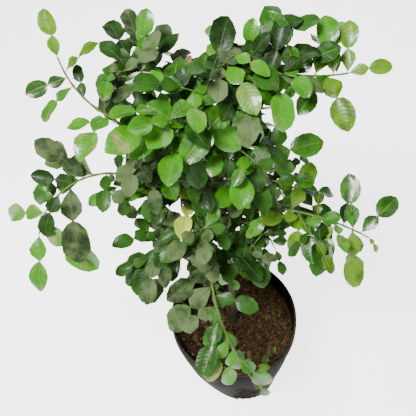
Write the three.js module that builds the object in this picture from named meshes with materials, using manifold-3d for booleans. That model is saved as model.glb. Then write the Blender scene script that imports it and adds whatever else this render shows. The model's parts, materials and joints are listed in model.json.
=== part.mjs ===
// A young kaffir lime tree in a black grow bag.
//
// Millimetres, +Z up. The origin is on the flat underside of the bag, straight
// below the centre of its rim. The plant stands in the soil with a short bare
// trunk, a leader that was cut off at its top, and boughs that each carry one
// mass of foliage. A kaffir lime leaf has two lobes: a winged stalk, a narrow
// neck and then the blade.

import * as THREE from 'three';
import { mergeVertices } from 'three/addons/utils/BufferGeometryUtils.js';
import Module from 'manifold-3d';

// Driving dimensions of the bag
const RIM_RADIUS = 115;
const RIM_HEIGHT = 184;
const BASE_RADIUS = 98;
const BASE_SHIFT = [ 11, - 15 ]; // the foot of the bag stands a little off the rim's centre
const BASE_CORNERS = 3; // soft corners where the film is folded under
const CORNER_SWELL = 7;
const CORNER_AZIMUTH = - 65;
const BELLY = 5; // how far the filled wall bulges
const FILM = 2;
const HEEL = 7; // rounding between wall and underside
const CUFF_HEIGHT = 25; // the rim is turned down outside
const CUFF_STAND = 3;
const WALL_SIDES = 24;

// Driving dimensions of the soil
const SOIL_HEIGHT = 152; // at the trunk
const SOIL_FALL = 11; // the surface falls from the front left to the back right
const SOIL_FALL_AZIMUTH = 60;
const SOIL_FLAT = 24; // radius of the level patch round the trunk
const SOIL_FLAT_SHARE = 0.3;
const SOIL_RINGS = [ 0, SOIL_FLAT_SHARE, 0.6, 0.84, 1 ]; // from the trunk to the wall

// Clearances
const GAP = 0.3;
const FOOT_GAP = 1.2 * GAP; // cut from a bough's foot round its parent
const STEM_GAP = 0.8 * GAP; // cut from a mass's stem round its bough
const SOIL_INSET = FILM + 1.5 * GAP;
const LEAF_TO_LIMB = 3.5;
const LEAF_TO_LEAF = 3;
const SHOOT_TO_SHOOT = 5;
const SPACE_MARGIN = 2;

// Root flare at the foot of the trunk
const FLARE = 5;
const FLARE_REACH = 14;
const FLARE_RIDGES = 5;
const FLARE_RIPPLE = 0.25; // how much of the flare is lost between two ridges, and gained on them
const FLARE_SECTIONS = [ 0.25, 0.5 ]; // further rings in the trunk's first step

// Limbs: where each leaves its parent, as a share of the parent's length, its
// heading and rise in degrees and how far both change along it, its length,
// and its radius at foot and tip
const LIMBS = [
	limb( 'trunk', null, 0, 118, 84, 185, 0, - 6, 6.2, 4.6 ),
	limb( 'leader', 'trunk', 1, 116, 72, 345, - 3, - 13, 4.5, 3 ),
	limb( 'bough_left', 'trunk', 0.8, 150, 54, 255, 10, - 14, 3.2, 2 ),
	limb( 'bough_lower_left', 'trunk', 0.66, 172, 50, 110, 0, - 10, 2.6, 1.8 ),
	limb( 'bough_back_left', 'trunk', 0.72, 128, 42, 150, 8, - 12, 2.6, 1.8 ),
	limb( 'bough_back', 'leader', 0.21, 94, 52, 134, 4, - 14, 2.8, 1.8 ),
	limb( 'bough_back_right', 'trunk', 0.84, 50, 44, 125, 0, - 14, 2.6, 1.8 ),
	limb( 'bough_lower_right', 'trunk', 0.9, 24, 56, 110, 0, - 10, 2.6, 1.8 ),
	limb( 'bough_front', 'leader', 0.1, - 112, 50, 62, - 8, - 20, 2.6, 1.8 ),
	limb( 'bough_lower_centre', 'leader', 0.14, - 104, 66, 66, 0, - 10, 2.4, 1.8 ),
	limb( 'bough_inner_left', 'leader', 0.18, 168, 58, 102, 0, - 10, 2.6, 1.8 ),
	limb( 'bough_right', 'leader', 0.32, - 8, 26, 100, - 8, - 12, 2.8, 2 ),
	limb( 'bough_upper_left', 'leader', 0.28, 158, 48, 218, 0, - 8, 2.8, 1.8 ),
	limb( 'bough_mid_left', 'leader', 0.36, 178, 54, 92, 0, - 8, 2.4, 1.8 ),
	limb( 'bough_upper_right', 'leader', 0.4, 76, 72, 196, - 10, - 12, 2.8, 1.8 ),
	limb( 'bough_centre', 'leader', 0.46, - 128, 70, 88, 0, - 8, 2.6, 1.8 ),
	limb( 'bough_top_left', 'leader', 0.54, 134, 58, 124, 6, - 8, 2.6, 1.8 ),
	limb( 'bough_top', 'leader', 0.62, 64, 62, 122, 0, - 4, 2.6, 1.8 ),
	limb( 'bough_centre_right', 'bough_right', 0.92, 150, 70, 70, 10, - 6, 2, 1.6 ),
];
const LIMB_STEPS = 6;
const LIMB_SIDES = 5;

// Masses of foliage: each grows from the tip of the bough of the same name.
// A stem has a heading, rise, length, turn and bend. Twigs and leaves follow
// the seeded rule. On the shoots that stand clear of the crown the leaves are
// given one by one, as heading from the stem and length. The leaves of a mass
// lean outwards and to the front, and their tips are lifted, by these degrees.
// Claim widens the space of a mass against that of its neighbours.
const MASSES = [
	mass( 'left', [ 190, 30, 176, 44, - 95 ], 0, 0, 60, 6, 22, 0, 10,
		[ [ - 100, 56 ], [ 66, 50 ], [ - 56, 100 ], [ - 24, 80 ], [ 66, 94 ], [ 20, 56 ],
			[ - 100, 32 ], [ - 58, 66 ], [ 96, 88 ], [ 40, 74 ] ] ),
	mass( 'upper_left', [ 172, 30, 106, - 56, 12 ], 0, 0, 56, 6, 22, 4, 26,
		[ [ 78, 84 ], [ - 130, 54 ], [ - 40, 46 ], [ 80, 64 ], [ - 104, 60 ], [ - 16, 60 ] ] ),
	mass( 'mid_left', [ 150, 34, 50, 0, - 20 ], 5, 50, 76, 8, 26, 0, 4 ),
	mass( 'upper_right', [ - 34, 4, 140, 54, - 10 ], 0, 0, 60, 0, 28, 6, 10,
		[ [ 112, 74 ], [ - 60, 40 ], [ 135, 100 ], [ - 120, 56 ], [ 104, 84 ], [ - 141, 44 ],
			[ 92, 92 ], [ - 84, 80 ], [ 86, 78 ], [ - 14, 56 ] ] ),
	mass( 'right', [ - 20, 12, 118, - 8, - 22 ], 1, 50, 56, 6, 24, 4, 8,
		[ [ 88, 78 ], [ - 78, 60 ], [ - 72, 74 ], [ 108, 40 ], [ - 66, 60 ], [ - 62, 50 ],
			[ 104, 70 ], [ - 62, 84 ], [ 64, 72 ], [ - 20, 24 ] ] ),
	mass( 'front', [ - 98, 10, 196, 62, - 66 ], 0, 0, 60, 6, 16, 0, 8,
		[ [ - 78, 84 ], [ 20, 50 ], [ - 86, 98 ], [ 62, 66 ], [ - 80, 66 ], [ - 40, 56 ],
			[ 8, 50 ], [ - 60, 44 ], [ - 72, 40 ], [ 12, 46 ], [ 30, 46 ], [ 60, 22 ], [ 0, 26 ] ] ),
	mass( 'lower_left', [ 160, 46, 50, 12, - 40 ], 3, 46, 58, 6, 20, 0, 0,
		[ [ 60, 84 ], [ - 40, 66 ], [ 30, 66 ], [ 98, 50 ], [ - 70, 56 ], [ 70, 66 ] ] ),
	mass( 'lower_right', [ - 150, 40, 56, 10, - 30 ], 4, 46, 66, 6, 22, 0, 2 ),
	mass( 'lower_centre', [ 150, 50, 46, 10, - 40 ], 5, 50, 78, 6, 24, 0, 2 ),
	mass( 'inner_left', [ 140, 40, 44, 10, - 30 ], 4, 44, 70, 8, 22, 0, 0 ),
	mass( 'centre', [ 110, 50, 84, 0, - 20 ], 6, 64, 92, 4, 24, 2, 4 ),
	mass( 'centre_right', [ 140, 44, 66, 10, - 20 ], 5, 56, 84, 6, 24, 2, 4 ),
	mass( 'top_left', [ 182, 22, 60, - 30, - 10 ], 5, 52, 76, 4, 22, 2, 8 ),
	mass( 'top', [ - 70, 16, 54, 0, - 20 ], 6, 54, 78, 0, 22, 2, 7 ),
	mass( 'back', [ 80, 40, 84, 0, - 20 ], 4, 70, 84, 24, 0, 2, 0 ),
	mass( 'back_left', [ 98, 30, 60, 0, - 20 ], 4, 60, 80, 24, 0, 2, 0 ),
	mass( 'back_right', [ 80, 24, 56, 0, - 20 ], 4, 52, 78, 24, 0, 2, 0 ),
];
const CROWN_AXIS = [ - 40, 70 ];
const STEM_ROOT = 4; // a stem first runs on straight from its bough
const STEM_STEPS = 7;
const STEM_RADII = [ 1.6, 0.9 ];
const TWIG_STEPS = 4;
const TWIG_RADII = [ 1.1, 0.8 ];
const TWIG_SIDES = 3;
const TWIG_FIRST = 0.12; // the share of the stem where the first twig leaves it
const TWIG_REACH = 0.8; // the share of the stem between the first twig and the last
const TWIG_SIDEWAYS = [ 40, 70 ]; // from the heading of the stem
const TWIG_RISE = [ - 8, 52 ];
const TWIG_AT_FOOT = 1.1; // length of a twig at the foot of the stem, and how much less at its tip
const TWIG_SHORTENING = 0.3;
const TWIG_LENGTHS = [ 0.85, 1.15 ];
const TWIG_TURN = [ - 25, 15 ];
const TWIG_BEND = [ - 35, - 10 ];
const RISE_KEPT = 0.5; // how much of a shoot's rise its twigs and leaves keep
const LEAF_SPACING = 15;
const LEAF_FEWEST = 3;
const LEAF_SIDEWAYS = 78; // from the heading of the shoot at its foot, and how much less at its tip
const LEAF_FORWARD = 30;
const LEAF_SCATTER = [ - 16, 16 ];
const LAST_SCATTER = [ - 18, 18 ]; // the last leaf ends the shoot
const LEAF_SIZES = [ 0.78, 1.12 ];
const YOUNG_FROM = 0.8; // the share of a shoot beyond which its leaves are young and smaller
const YOUNG_SIZE = 0.78;
const FIRST_LEAF = 0.2; // the share of a shoot where its leaves begin
const FIRST_GIVEN = 0.05;
const LEAF_LIFT = [ - 10, 28 ];
const LEAF_ROLL = [ - 24, 24 ];
const LEAF_ARCH = [ 12, 40 ];
const SEED = 1000;
const SEED_STEP = 37;

// Leaf outline: share of the length, half width as a share of the length
const OUTLINE = [ [ 0.3, 0.15 ], [ 0.41, 0.026 ], [ 0.56, 0.195 ], [ 0.82, 0.175 ] ];
const NECK = 0.41; // the leaf is thickest here, on its midrib
const FOLD = 0.25; // the two halves rise from the midrib
const LEAF_THICKNESS = 0.022; // of the length, at the neck
const THINNEST = 1.2;
const LEAF_ROOT = 0.9; // how far the root is sunk past the twig's middle
const LEAF_STEPS = 10;
// What a leaf tries in turn to stay in its space: a turn, a size and a rise
const TRIES = [
	[ 0, 1, 0 ], [ 0, 1, - 18 ], [ 0, 1, 18 ], [ 28, 1, 0 ], [ - 28, 1, 0 ], [ 0, 0.8, 0 ], [ 0, 0.8, - 24 ],
	[ 55, 0.9, 0 ], [ - 55, 0.9, 0 ], [ 80, 0.8, 0 ], [ - 80, 0.8, 0 ],
];
const PROBE_ALONG = [ 0.18, 0.3, 0.36, 0.41, 0.5, 0.56, 0.7, 0.82, 0.92, 1 ];
const PROBE_ACROSS = [ - 1, - 0.5, 0, 0.5, 1 ];

function limb( name, parent, at, azimuth, rise, length, turn, bend, foot, tip ) {

	return { name, parent, at, azimuth, rise, length, turn, bend, foot, tip };

}

function mass( place, stem, twigs, twigLength, leafLength, out, front, lift, claim, leaves = null ) {

	const [ azimuth, rise, length, turn, bend ] = stem;
	return {
		name: 'foliage_' + place, bough: 'bough_' + place,
		azimuth, rise, length, turn, bend,
		twigs, twigLength, leafLength, out, front, lift, claim, leaves,
	};

}

// Numbers, vectors and paths

const RAD = Math.PI / 180;

function randomFrom( seed ) {

	let state = seed >>> 0;
	return ( low, high ) => {

		state = ( Math.imul( state, 1664525 ) + 1013904223 ) >>> 0;
		return low + ( high - low ) * state / 4294967296;

	};

}

function heading( azimuth, rise ) {

	const a = azimuth * RAD;
	const r = rise * RAD;
	return new THREE.Vector3( Math.cos( r ) * Math.cos( a ), Math.cos( r ) * Math.sin( a ), Math.sin( r ) );

}

const azimuthOf = ( v ) => Math.atan2( v.y, v.x ) / RAD;
const riseOf = ( v ) => Math.asin( v.z ) / RAD;

// Points along a path whose heading and rise change evenly from start to end
function pathOf( start, azimuth, rise, length, turn, bend, steps ) {

	const points = [ start.clone() ];
	for ( let i = 0; i < steps; i ++ ) {

		const t = ( i + 0.5 ) / steps;
		const step = heading( azimuth + turn * t, rise + bend * t ).multiplyScalar( length / steps );
		points.push( points[ i ].clone().add( step ) );

	}

	return points;

}

// The point at a share of a path's steps, and the direction there
function along( points, share ) {

	const last = points.length - 2;
	const x = share * ( points.length - 1 );
	const i = Math.min( Math.max( Math.floor( x ), 0 ), last );
	const point = points[ i ].clone().lerp( points[ i + 1 ], x - i );
	const direction = points[ i + 1 ].clone().sub( points[ i ] ).normalize();
	return { point, direction };

}

function withMidpoints( points ) {

	const out = [ points[ 0 ] ];
	for ( let i = 1; i < points.length; i ++ ) {

		out.push( points[ i - 1 ].clone().lerp( points[ i ], 0.5 ), points[ i ] );

	}

	return out;

}

// Solids

// Moves every vertex of a geometry to where place( vertex, index ) puts it
function reshape( geometry, place ) {

	const position = geometry.attributes.position;
	const vertex = new THREE.Vector3();
	for ( let i = 0; i < position.count; i ++ ) {

		const { x, y, z } = place( vertex.fromBufferAttribute( position, i ), i );
		position.setXYZ( i, x, y, z );

	}

	return geometry;

}

// A cylinder bent along a path and tapered; flare( height, angle ) adds to its
// radius. The first ring stands square to firstNormal where that is given.
function tube( points, radiusAt, sides, firstNormal = null, flare = null ) {

	const steps = points.length - 1;
	let across = new THREE.Vector3( 1, 0, 0 );
	const frames = points.map( ( point, i ) => {

		const before = points[ Math.max( i - 1, 0 ) ];
		const after = points[ Math.min( i + 1, steps ) ];
		const normal = i === 0 && firstNormal ? firstNormal : after.clone().sub( before ).normalize();
		if ( Math.abs( across.dot( normal ) ) > 0.9 ) across = new THREE.Vector3( 0, 1, 0 );
		across = across.clone().addScaledVector( normal, - across.dot( normal ) ).normalize();
		return { point, across, side: normal.clone().cross( across ) };

	} );
	const cylinder = new THREE.CylinderGeometry( 1, 1, 1, sides, steps ).translate( 0, 0.5, 0 ).rotateX( Math.PI / 2 );
	return reshape( cylinder, ( vertex ) => {

		const { point, across, side } = frames[ Math.round( vertex.z * steps ) ];
		const extra = flare ? flare( point.z - points[ 0 ].z, Math.atan2( vertex.y, vertex.x ) ) : 0;
		const radius = radiusAt( vertex.z ) + extra;
		return point.clone().addScaledVector( across, radius * vertex.x ).addScaledVector( side, radius * vertex.y );

	} );

}

const wasm = await Module();
wasm.setup();
const SAME_POINT = 1e-4;

function toManifold( geometry ) {

	const bare = geometry.clone();
	bare.deleteAttribute( 'normal' );
	bare.deleteAttribute( 'uv' );
	const merged = mergeVertices( bare, SAME_POINT );
	return new wasm.Manifold( new wasm.Mesh( {
		numProp: 3,
		vertProperties: new Float32Array( merged.attributes.position.array ),
		triVerts: new Uint32Array( merged.index.array ),
	} ) );

}

// The largest body of a solid, without loose scraps and sealed hollows
function mainBody( manifold ) {

	const bodies = manifold.decompose();
	return bodies.reduce( ( best, body ) => ( body.volume() > best.volume() ? body : best ) );

}

function toGeometry( manifold ) {

	const mesh = manifold.getMesh();
	const geometry = new THREE.BufferGeometry();
	geometry.setAttribute( 'position', new THREE.BufferAttribute( mesh.vertProperties, 3 ) );
	geometry.setIndex( new THREE.BufferAttribute( mesh.triVerts, 1 ) );
	return geometry;

}

// The bag

const LOWER_WALL = 60;
const UPPER_WALL = 118; // the inner wall is straight from here to the rim
const RIM_ROUNDING = 1.5;

const rimShare = ( height ) => Math.min( Math.max( height / RIM_HEIGHT, 0 ), 1 );
const smooth = ( t ) => t * t * ( 3 - 2 * t );

// Mean radius of the wall at a height
function wallRadius( height ) {

	const t = rimShare( height );
	return BASE_RADIUS + ( RIM_RADIUS - BASE_RADIUS ) * smooth( t ) + BELLY * Math.sin( Math.PI * t );

}

// Turns a profile of radius and height about the upright axis, closed at both ends
function turned( profile ) {

	const points = profile.map( ( [ radius, height ] ) => new THREE.Vector2( radius, height ) );
	return new THREE.LatheGeometry( points, WALL_SIDES ).rotateX( Math.PI / 2 );

}

// The full bag sags: its foot has soft corners and stands off the rim's centre
function sagged( { x, y, z } ) {

	const t = rimShare( z );
	const angle = Math.atan2( y, x );
	const corner = Math.cos( BASE_CORNERS * ( angle - CORNER_AZIMUTH * RAD ) );
	const scale = 1 + CORNER_SWELL * corner * ( 1 - smooth( t ) ) / wallRadius( z );
	return new THREE.Vector3( BASE_SHIFT[ 0 ] * ( 1 - t ) + x * scale, BASE_SHIFT[ 1 ] * ( 1 - t ) + y * scale, z );

}

function growBag() {

	const cuffFoot = RIM_HEIGHT - CUFF_HEIGHT;
	const wall = ( height, offset ) => [ wallRadius( height ) + offset, height ];
	return reshape( turned( [
		[ 0, 0 ],
		[ BASE_RADIUS - HEEL, 0 ],
		wall( HEEL, 0 ),
		wall( LOWER_WALL, 0 ),
		wall( UPPER_WALL, 0 ),
		wall( cuffFoot + 1, 0 ),
		wall( cuffFoot, CUFF_STAND ),
		wall( RIM_HEIGHT - RIM_ROUNDING, CUFF_STAND ),
		wall( RIM_HEIGHT, CUFF_STAND / 2 ),
		wall( RIM_HEIGHT - RIM_ROUNDING, - FILM ),
		wall( UPPER_WALL, - FILM ),
		wall( LOWER_WALL, - FILM ),
		wall( HEEL + FILM, - FILM ),
		[ BASE_RADIUS - HEEL - FILM, FILM ],
		[ 0, FILM ],
	] ), sagged );

}

// The soil

// Height of the soil surface: level round the trunk, then falling to one side
function soilHeight( x, y ) {

	const away = Math.max( Math.hypot( x, y ) - SOIL_FLAT, 0 );
	const side = Math.cos( Math.atan2( y, x ) - SOIL_FALL_AZIMUTH * RAD );
	return SOIL_HEIGHT - SOIL_FALL * side * away / ( RIM_RADIUS - SOIL_FLAT );

}

// Where the soil meets the straight part of the inner wall at an angle
function soilEdge( angle ) {

	const wall = ( height ) => {

		const radius = wallRadius( height ) - SOIL_INSET;
		return sagged( { x: radius * Math.cos( angle ), y: radius * Math.sin( angle ), z: height } );

	};
	const low = wall( UPPER_WALL );
	const high = wall( RIM_HEIGHT - RIM_ROUNDING );
	const height = soilHeight( high.x, high.y );
	return low.lerp( high, ( height - low.z ) / ( high.z - low.z ) );

}

// The soil is turned from the top down like the inner wall, so that the facets
// of both run alike, and then its faces are turned to point outwards
function soil() {

	const wall = ( height ) => [ wallRadius( height ) - SOIL_INSET, height ];
	const solid = turned( [
		...SOIL_RINGS.map( ( share ) => [ share, SOIL_HEIGHT ] ),
		wall( UPPER_WALL ),
		wall( LOWER_WALL ),
		wall( HEEL + FILM ),
		[ BASE_RADIUS - HEEL - SOIL_INSET, FILM + GAP ],
		[ 0, FILM + GAP ],
	] );
	const faces = solid.index.array;
	for ( let i = 0; i < faces.length; i += 3 ) [ faces[ i ], faces[ i + 1 ] ] = [ faces[ i + 1 ], faces[ i ] ];
	return reshape( solid, ( vertex ) => {

		if ( vertex.z < SOIL_HEIGHT ) return sagged( vertex );
		const share = Math.hypot( vertex.x, vertex.y );
		const angle = Math.atan2( vertex.y, vertex.x );
		const edge = soilEdge( angle );
		if ( share >= 1 ) return edge;
		const spread = Math.max( share - SOIL_FLAT_SHARE, 0 ) / ( 1 - SOIL_FLAT_SHARE );
		const flat = SOIL_FLAT * Math.min( share / SOIL_FLAT_SHARE, 1 );
		const x = flat * Math.cos( angle ) * ( 1 - spread ) + edge.x * spread;
		const y = flat * Math.sin( angle ) * ( 1 - spread ) + edge.y * spread;
		return new THREE.Vector3( x, y, soilHeight( x, y ) );

	} );

}

// Trunk, leader and boughs

const taper = ( from, to ) => ( t ) => from + ( to - from ) * t;

function growLimbs() {

	const limbs = {};
	for ( const spec of LIMBS ) {

		const parent = limbs[ spec.parent ];
		let start = new THREE.Vector3( 0, 0, SOIL_HEIGHT + GAP );
		let square = new THREE.Vector3( 0, 0, 1 ); // the cut at the foot is square to this
		if ( parent ) {

			const { point, direction } = along( parent.points, spec.at );
			start = spec.at === 1 ? point.addScaledVector( direction, GAP ) : point;
			square = spec.at === 1 ? direction : null;

		}

		const points = pathOf( start, spec.azimuth, spec.rise, spec.length, spec.turn, spec.bend, LIMB_STEPS );
		const shape = ( extra ) => limbSolid( spec, points, extra, square );
		const solid = square ? shape( 0 ) : shape( 0 ).subtract( parent.shape( FOOT_GAP ) );
		limbs[ spec.name ] = { ...spec, points, shape, solid: mainBody( solid ) };

	}

	return limbs;

}

// The trunk spreads into root ridges at the soil and is cut level there
function limbSolid( spec, points, extra, square ) {

	const radiusAt = taper( spec.foot + extra, spec.tip + extra );
	if ( spec.parent ) return toManifold( tube( points, radiusAt, LIMB_SIDES, square ) );
	const ridge = ( angle ) => 1 - FLARE_RIPPLE + FLARE_RIPPLE * Math.cos( FLARE_RIDGES * angle );
	const flare = ( height, angle ) => FLARE * Math.exp( - height / FLARE_REACH ) * ridge( angle );
	const low = FLARE_SECTIONS.map( ( share ) => points[ 0 ].clone().lerp( points[ 1 ], share ) );
	const dense = [ points[ 0 ], ...low, ...points.slice( 1 ) ];
	return toManifold( tube( dense, radiusAt, 2 * FLARE_RIDGES, square, flare ) );

}

// Leaves

function halfWidth( x ) {

	const table = [ [ 0, 0 ], ...OUTLINE, [ 1, 0 ] ];
	const i = table.findIndex( ( row ) => row[ 0 ] >= x );
	if ( i === 0 ) return 0;
	const [ x0, y0 ] = table[ i - 1 ];
	const [ x1, y1 ] = table[ i ];
	return y0 + ( y1 - y0 ) * ( x - x0 ) / ( x1 - x0 );

}

// A leaf's frame: a point of it from the share along, the offset across and
// the height over the surface
function leafFrame( leaf ) {

	const spine = pathOf( leaf.base, leaf.azimuth, leaf.rise, leaf.length, 0, - leaf.arch, LEAF_STEPS );
	const level = heading( leaf.azimuth + 90, 0 );
	const roll = leaf.roll * RAD;
	return ( share, across, height ) => {

		const { point, direction } = along( spine, share );
		const upright = direction.clone().cross( level );
		const side = level.clone().multiplyScalar( Math.cos( roll ) ).addScaledVector( upright, - Math.sin( roll ) );
		const normal = upright.multiplyScalar( Math.cos( roll ) ).addScaledVector( level, Math.sin( roll ) );
		const width = across * leaf.length;
		return point
			.addScaledVector( side, width )
			.addScaledVector( normal, height + Math.abs( width ) * FOLD );

	};

}

function leafProbes( leaf ) {

	const at = leafFrame( leaf );
	return PROBE_ALONG.flatMap( ( x ) => PROBE_ACROSS.map( ( y ) => at( x, halfWidth( x ) * y, 0 ) ) );

}

// Two lobes with a sharp rim: a flat bipyramid whose rim is moved to the outline
function leafSolid( leaf ) {

	const at = leafFrame( leaf );
	const half = Math.max( leaf.length * LEAF_THICKNESS, THINNEST ) / 2;
	const right = OUTLINE.map( ( [ x, y ] ) => at( x, - y, 0 ) );
	const left = OUTLINE.map( ( [ x, y ] ) => at( x, y, 0 ) );
	const root = at( 0, 0, 0 );
	root.addScaledVector( at( NECK, 0, 0 ).sub( root ).normalize(), - LEAF_ROOT );
	const rim = [ root, ...right, at( 1, 0, 0 ), ...left.reverse() ];
	const profile = [ - 1, 0, 1 ].map( ( y ) => new THREE.Vector2( 1 - Math.abs( y ), y ) );
	const poles = { '-1': at( NECK, 0, - half ), 1: at( NECK, 0, half ) };
	return toManifold( reshape( new THREE.LatheGeometry( profile, rim.length ), ( { y }, i ) =>
		poles[ y ] || rim[ Math.floor( i / profile.length ) % rim.length ] ) );

}

function growStem( spec, limbs, random ) {

	const tip = along( limbs[ spec.bough ].points, 1 );
	const foot = tip.point.addScaledVector( tip.direction, GAP );
	const start = foot.clone().addScaledVector( tip.direction, STEM_ROOT );
	const points = pathOf( start, spec.azimuth, spec.rise, spec.length, spec.turn, spec.bend, STEM_STEPS );
	const stem = { points, drawn: [ foot, ...points ], length: spec.length, radii: STEM_RADII };
	return { spec, random, shoots: [ stem ] };

}

// Twigs to the right and left of the stem by turns, where they have room
function growTwigs( { spec, random, shoots }, hasRoom ) {

	const stem = shoots[ 0 ].points;
	for ( let j = 0; j < spec.twigs; j ++ ) {

		const share = TWIG_FIRST + TWIG_REACH * j / Math.max( spec.twigs - 1, 1 );
		const side = j % 2 ? 1 : - 1;
		const { point, direction } = along( stem, share );
		const azimuth = azimuthOf( direction ) + side * random( ...TWIG_SIDEWAYS );
		const rise = riseOf( direction ) * RISE_KEPT + random( ...TWIG_RISE );
		const length = spec.twigLength * ( TWIG_AT_FOOT - TWIG_SHORTENING * share ) * random( ...TWIG_LENGTHS );
		const turn = side * random( ...TWIG_TURN );
		const bend = random( ...TWIG_BEND );
		const points = pathOf( point, azimuth, rise, length, turn, bend, TWIG_STEPS );
		if ( hasRoom( points ) ) shoots.push( { points, drawn: points, length, radii: TWIG_RADII } );

	}

}

// Headings and lengths of the leaves of a shoot that isn't given one by one
function leafList( shoot, leafLength, random ) {

	const count = Math.max( LEAF_FEWEST, Math.round( shoot.length / LEAF_SPACING ) );
	return Array.from( { length: count }, ( _, i ) => {

		const t = ( i + 0.5 ) / count;
		const side = i % 2 ? 1 : - 1;
		const turn = i < count - 1
			? side * ( LEAF_SIDEWAYS - LEAF_FORWARD * t + random( ...LEAF_SCATTER ) )
			: random( ...LAST_SCATTER );
		const length = leafLength * random( ...LEAF_SIZES ) * ( t > YOUNG_FROM ? YOUNG_SIZE : 1 );
		return [ turn, length ];

	} );

}

function growLeaves( spec, shoots, fits, random ) {

	const leaves = [];
	shoots.forEach( ( shoot, order ) => {

		const given = order === 0 && spec.leaves;
		const list = given ? spec.leaves : leafList( shoot, spec.leafLength, random );
		list.forEach( ( [ turn, length ], i ) => {

			const first = given ? FIRST_GIVEN : FIRST_LEAF;
			const { point, direction } = along( shoot.points, first + ( 1 - first ) * i / ( list.length - 1 ) );
			const lift = random( ...LEAF_LIFT );
			const roll = random( ...LEAF_ROLL );
			const arch = random( ...LEAF_ARCH );
			for ( const [ aside, size, up ] of TRIES ) {

				const leaf = leafAt( spec, point, direction, turn + aside, length * size, lift + up, roll, arch );
				if ( fits( leaf ) ) {

					leaves.push( leaf );
					break;

				}

			}

		} );

	} );
	return leaves;

}

// A leaf turned from its shoot, leaning to the light outside and in front
function leafAt( spec, base, direction, turn, length, lift, roll, arch ) {

	const azimuth = azimuthOf( direction ) + turn;
	const out = Math.atan2( base.y - CROWN_AXIS[ 1 ], base.x - CROWN_AXIS[ 0 ] );
	const lightX = spec.out * Math.cos( out );
	const lightY = spec.out * Math.sin( out ) - spec.front;
	const lean = Math.hypot( lightX, lightY );
	const aside = Math.atan2( lightY, lightX ) - azimuth * RAD;
	return {
		base, azimuth, length, arch,
		rise: riseOf( direction ) * Math.cos( turn * RAD ) * RISE_KEPT + spec.lift + lift - lean * Math.cos( aside ),
		roll: lean * Math.sin( aside ) + roll,
	};

}

// Distance to the nearest of some points, less each point's claim
function nearest( point, others, claims = null ) {

	let best = Infinity;
	for ( let i = 0; i < others.length; i ++ ) {

		best = Math.min( best, point.distanceTo( others[ i ] ) - ( claims ? claims[ i ] : 0 ) );

	}

	return best;

}

// All masses. The space of a mass is what lies nearer to its own shoots than
// to the shoots of any other mass, each distance less the mass's claim. A twig
// that comes near a limb or another mass is left out. A leaf that leaves the
// space or comes near a limb is turned, made smaller or left out.
function growFoliage( limbs ) {

	const limbPoints = [];
	const limbRadii = [];
	for ( const { points, foot, tip } of Object.values( limbs ) ) {

		const dense = withMidpoints( withMidpoints( points ) );
		limbPoints.push( ...dense );
		limbRadii.push( ...dense.map( ( _, i ) => taper( foot, tip )( i / ( dense.length - 1 ) ) ) );

	}

	const masses = MASSES.map( ( spec, i ) => growStem( spec, limbs, randomFrom( SEED + SEED_STEP * i ) ) );
	const heart = ( { shoots } ) => shoots.flatMap( ( shoot ) => withMidpoints( shoot.points ) );
	const clearOfLimbs = ( point ) => nearest( point, limbPoints, limbRadii ) > LEAF_TO_LIMB;
	for ( const own of masses ) {

		const others = masses.filter( ( other ) => other !== own ).flatMap( heart );
		growTwigs( own, ( points ) => withMidpoints( points ).every( ( point ) =>
			clearOfLimbs( point ) && nearest( point, others ) > SHOOT_TO_SHOOT ) );

	}

	return masses.map( ( own ) => {

		const { spec, random, shoots } = own;
		const others = masses.filter( ( other ) => other !== own );
		const otherHearts = others.flatMap( heart );
		const otherClaims = others.flatMap( ( other ) => heart( other ).map( () => other.spec.claim ) );
		const ownHeart = heart( own );
		const taken = [];
		const fits = ( leaf ) => {

			const probes = leafProbes( leaf );
			const free = probes.every( ( probe ) =>
				nearest( probe, taken ) > LEAF_TO_LEAF && clearOfLimbs( probe )
				&& nearest( probe, ownHeart ) - spec.claim + SPACE_MARGIN < nearest( probe, otherHearts, otherClaims ) );
			if ( free ) taken.push( ...probes );
			return free;

		};

		const leaves = growLeaves( spec, shoots, fits, random );
		return { name: spec.name, solid: fuse( shoots, leaves, limbs[ spec.bough ] ) };

	} );

}

function fuse( shoots, leaves, bough ) {

	const wood = shoots.map( ( { drawn, radii } ) => toManifold( tube( drawn, taper( ...radii ), TWIG_SIDES ) ) );
	const solid = wasm.Manifold.union( [ ...wood, ...leaves.map( leafSolid ) ] );
	return mainBody( solid.subtract( bough.shape( STEM_GAP ) ) );

}

// Materials, one for each sub-part

function material( color, roughness ) {

	return new THREE.MeshStandardMaterial( { color, roughness, metalness: 0 } );

}

const BLACK_FILM = 0x2a2b2c;
const EARTH = 0x4a3324;
const BARK = 0x6b6a45;
const GREEN_WOOD = 0x6f8f3c;
const FOLIAGE = {
	left: 0x4f8a3a, upper_left: 0x8fbf45, mid_left: 0x6d7f5f, upper_right: 0x7fbb3c, right: 0x5d9a3c,
	front: 0x6a8050, lower_left: 0x3c5f36, lower_right: 0x48703a, lower_centre: 0x5c7350, inner_left: 0x35562f,
	centre: 0x3f8a35, centre_right: 0x4d9838, top_left: 0x74866a, top: 0x3f6a34, back: 0x3a6531,
	back_left: 0x3a6531, back_right: 0x40702f,
};

function addPart( group, name, geometry, color, roughness ) {

	const mesh = new THREE.Mesh( geometry, material( color, roughness ) );
	mesh.name = name;
	group.add( mesh );

}

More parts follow.
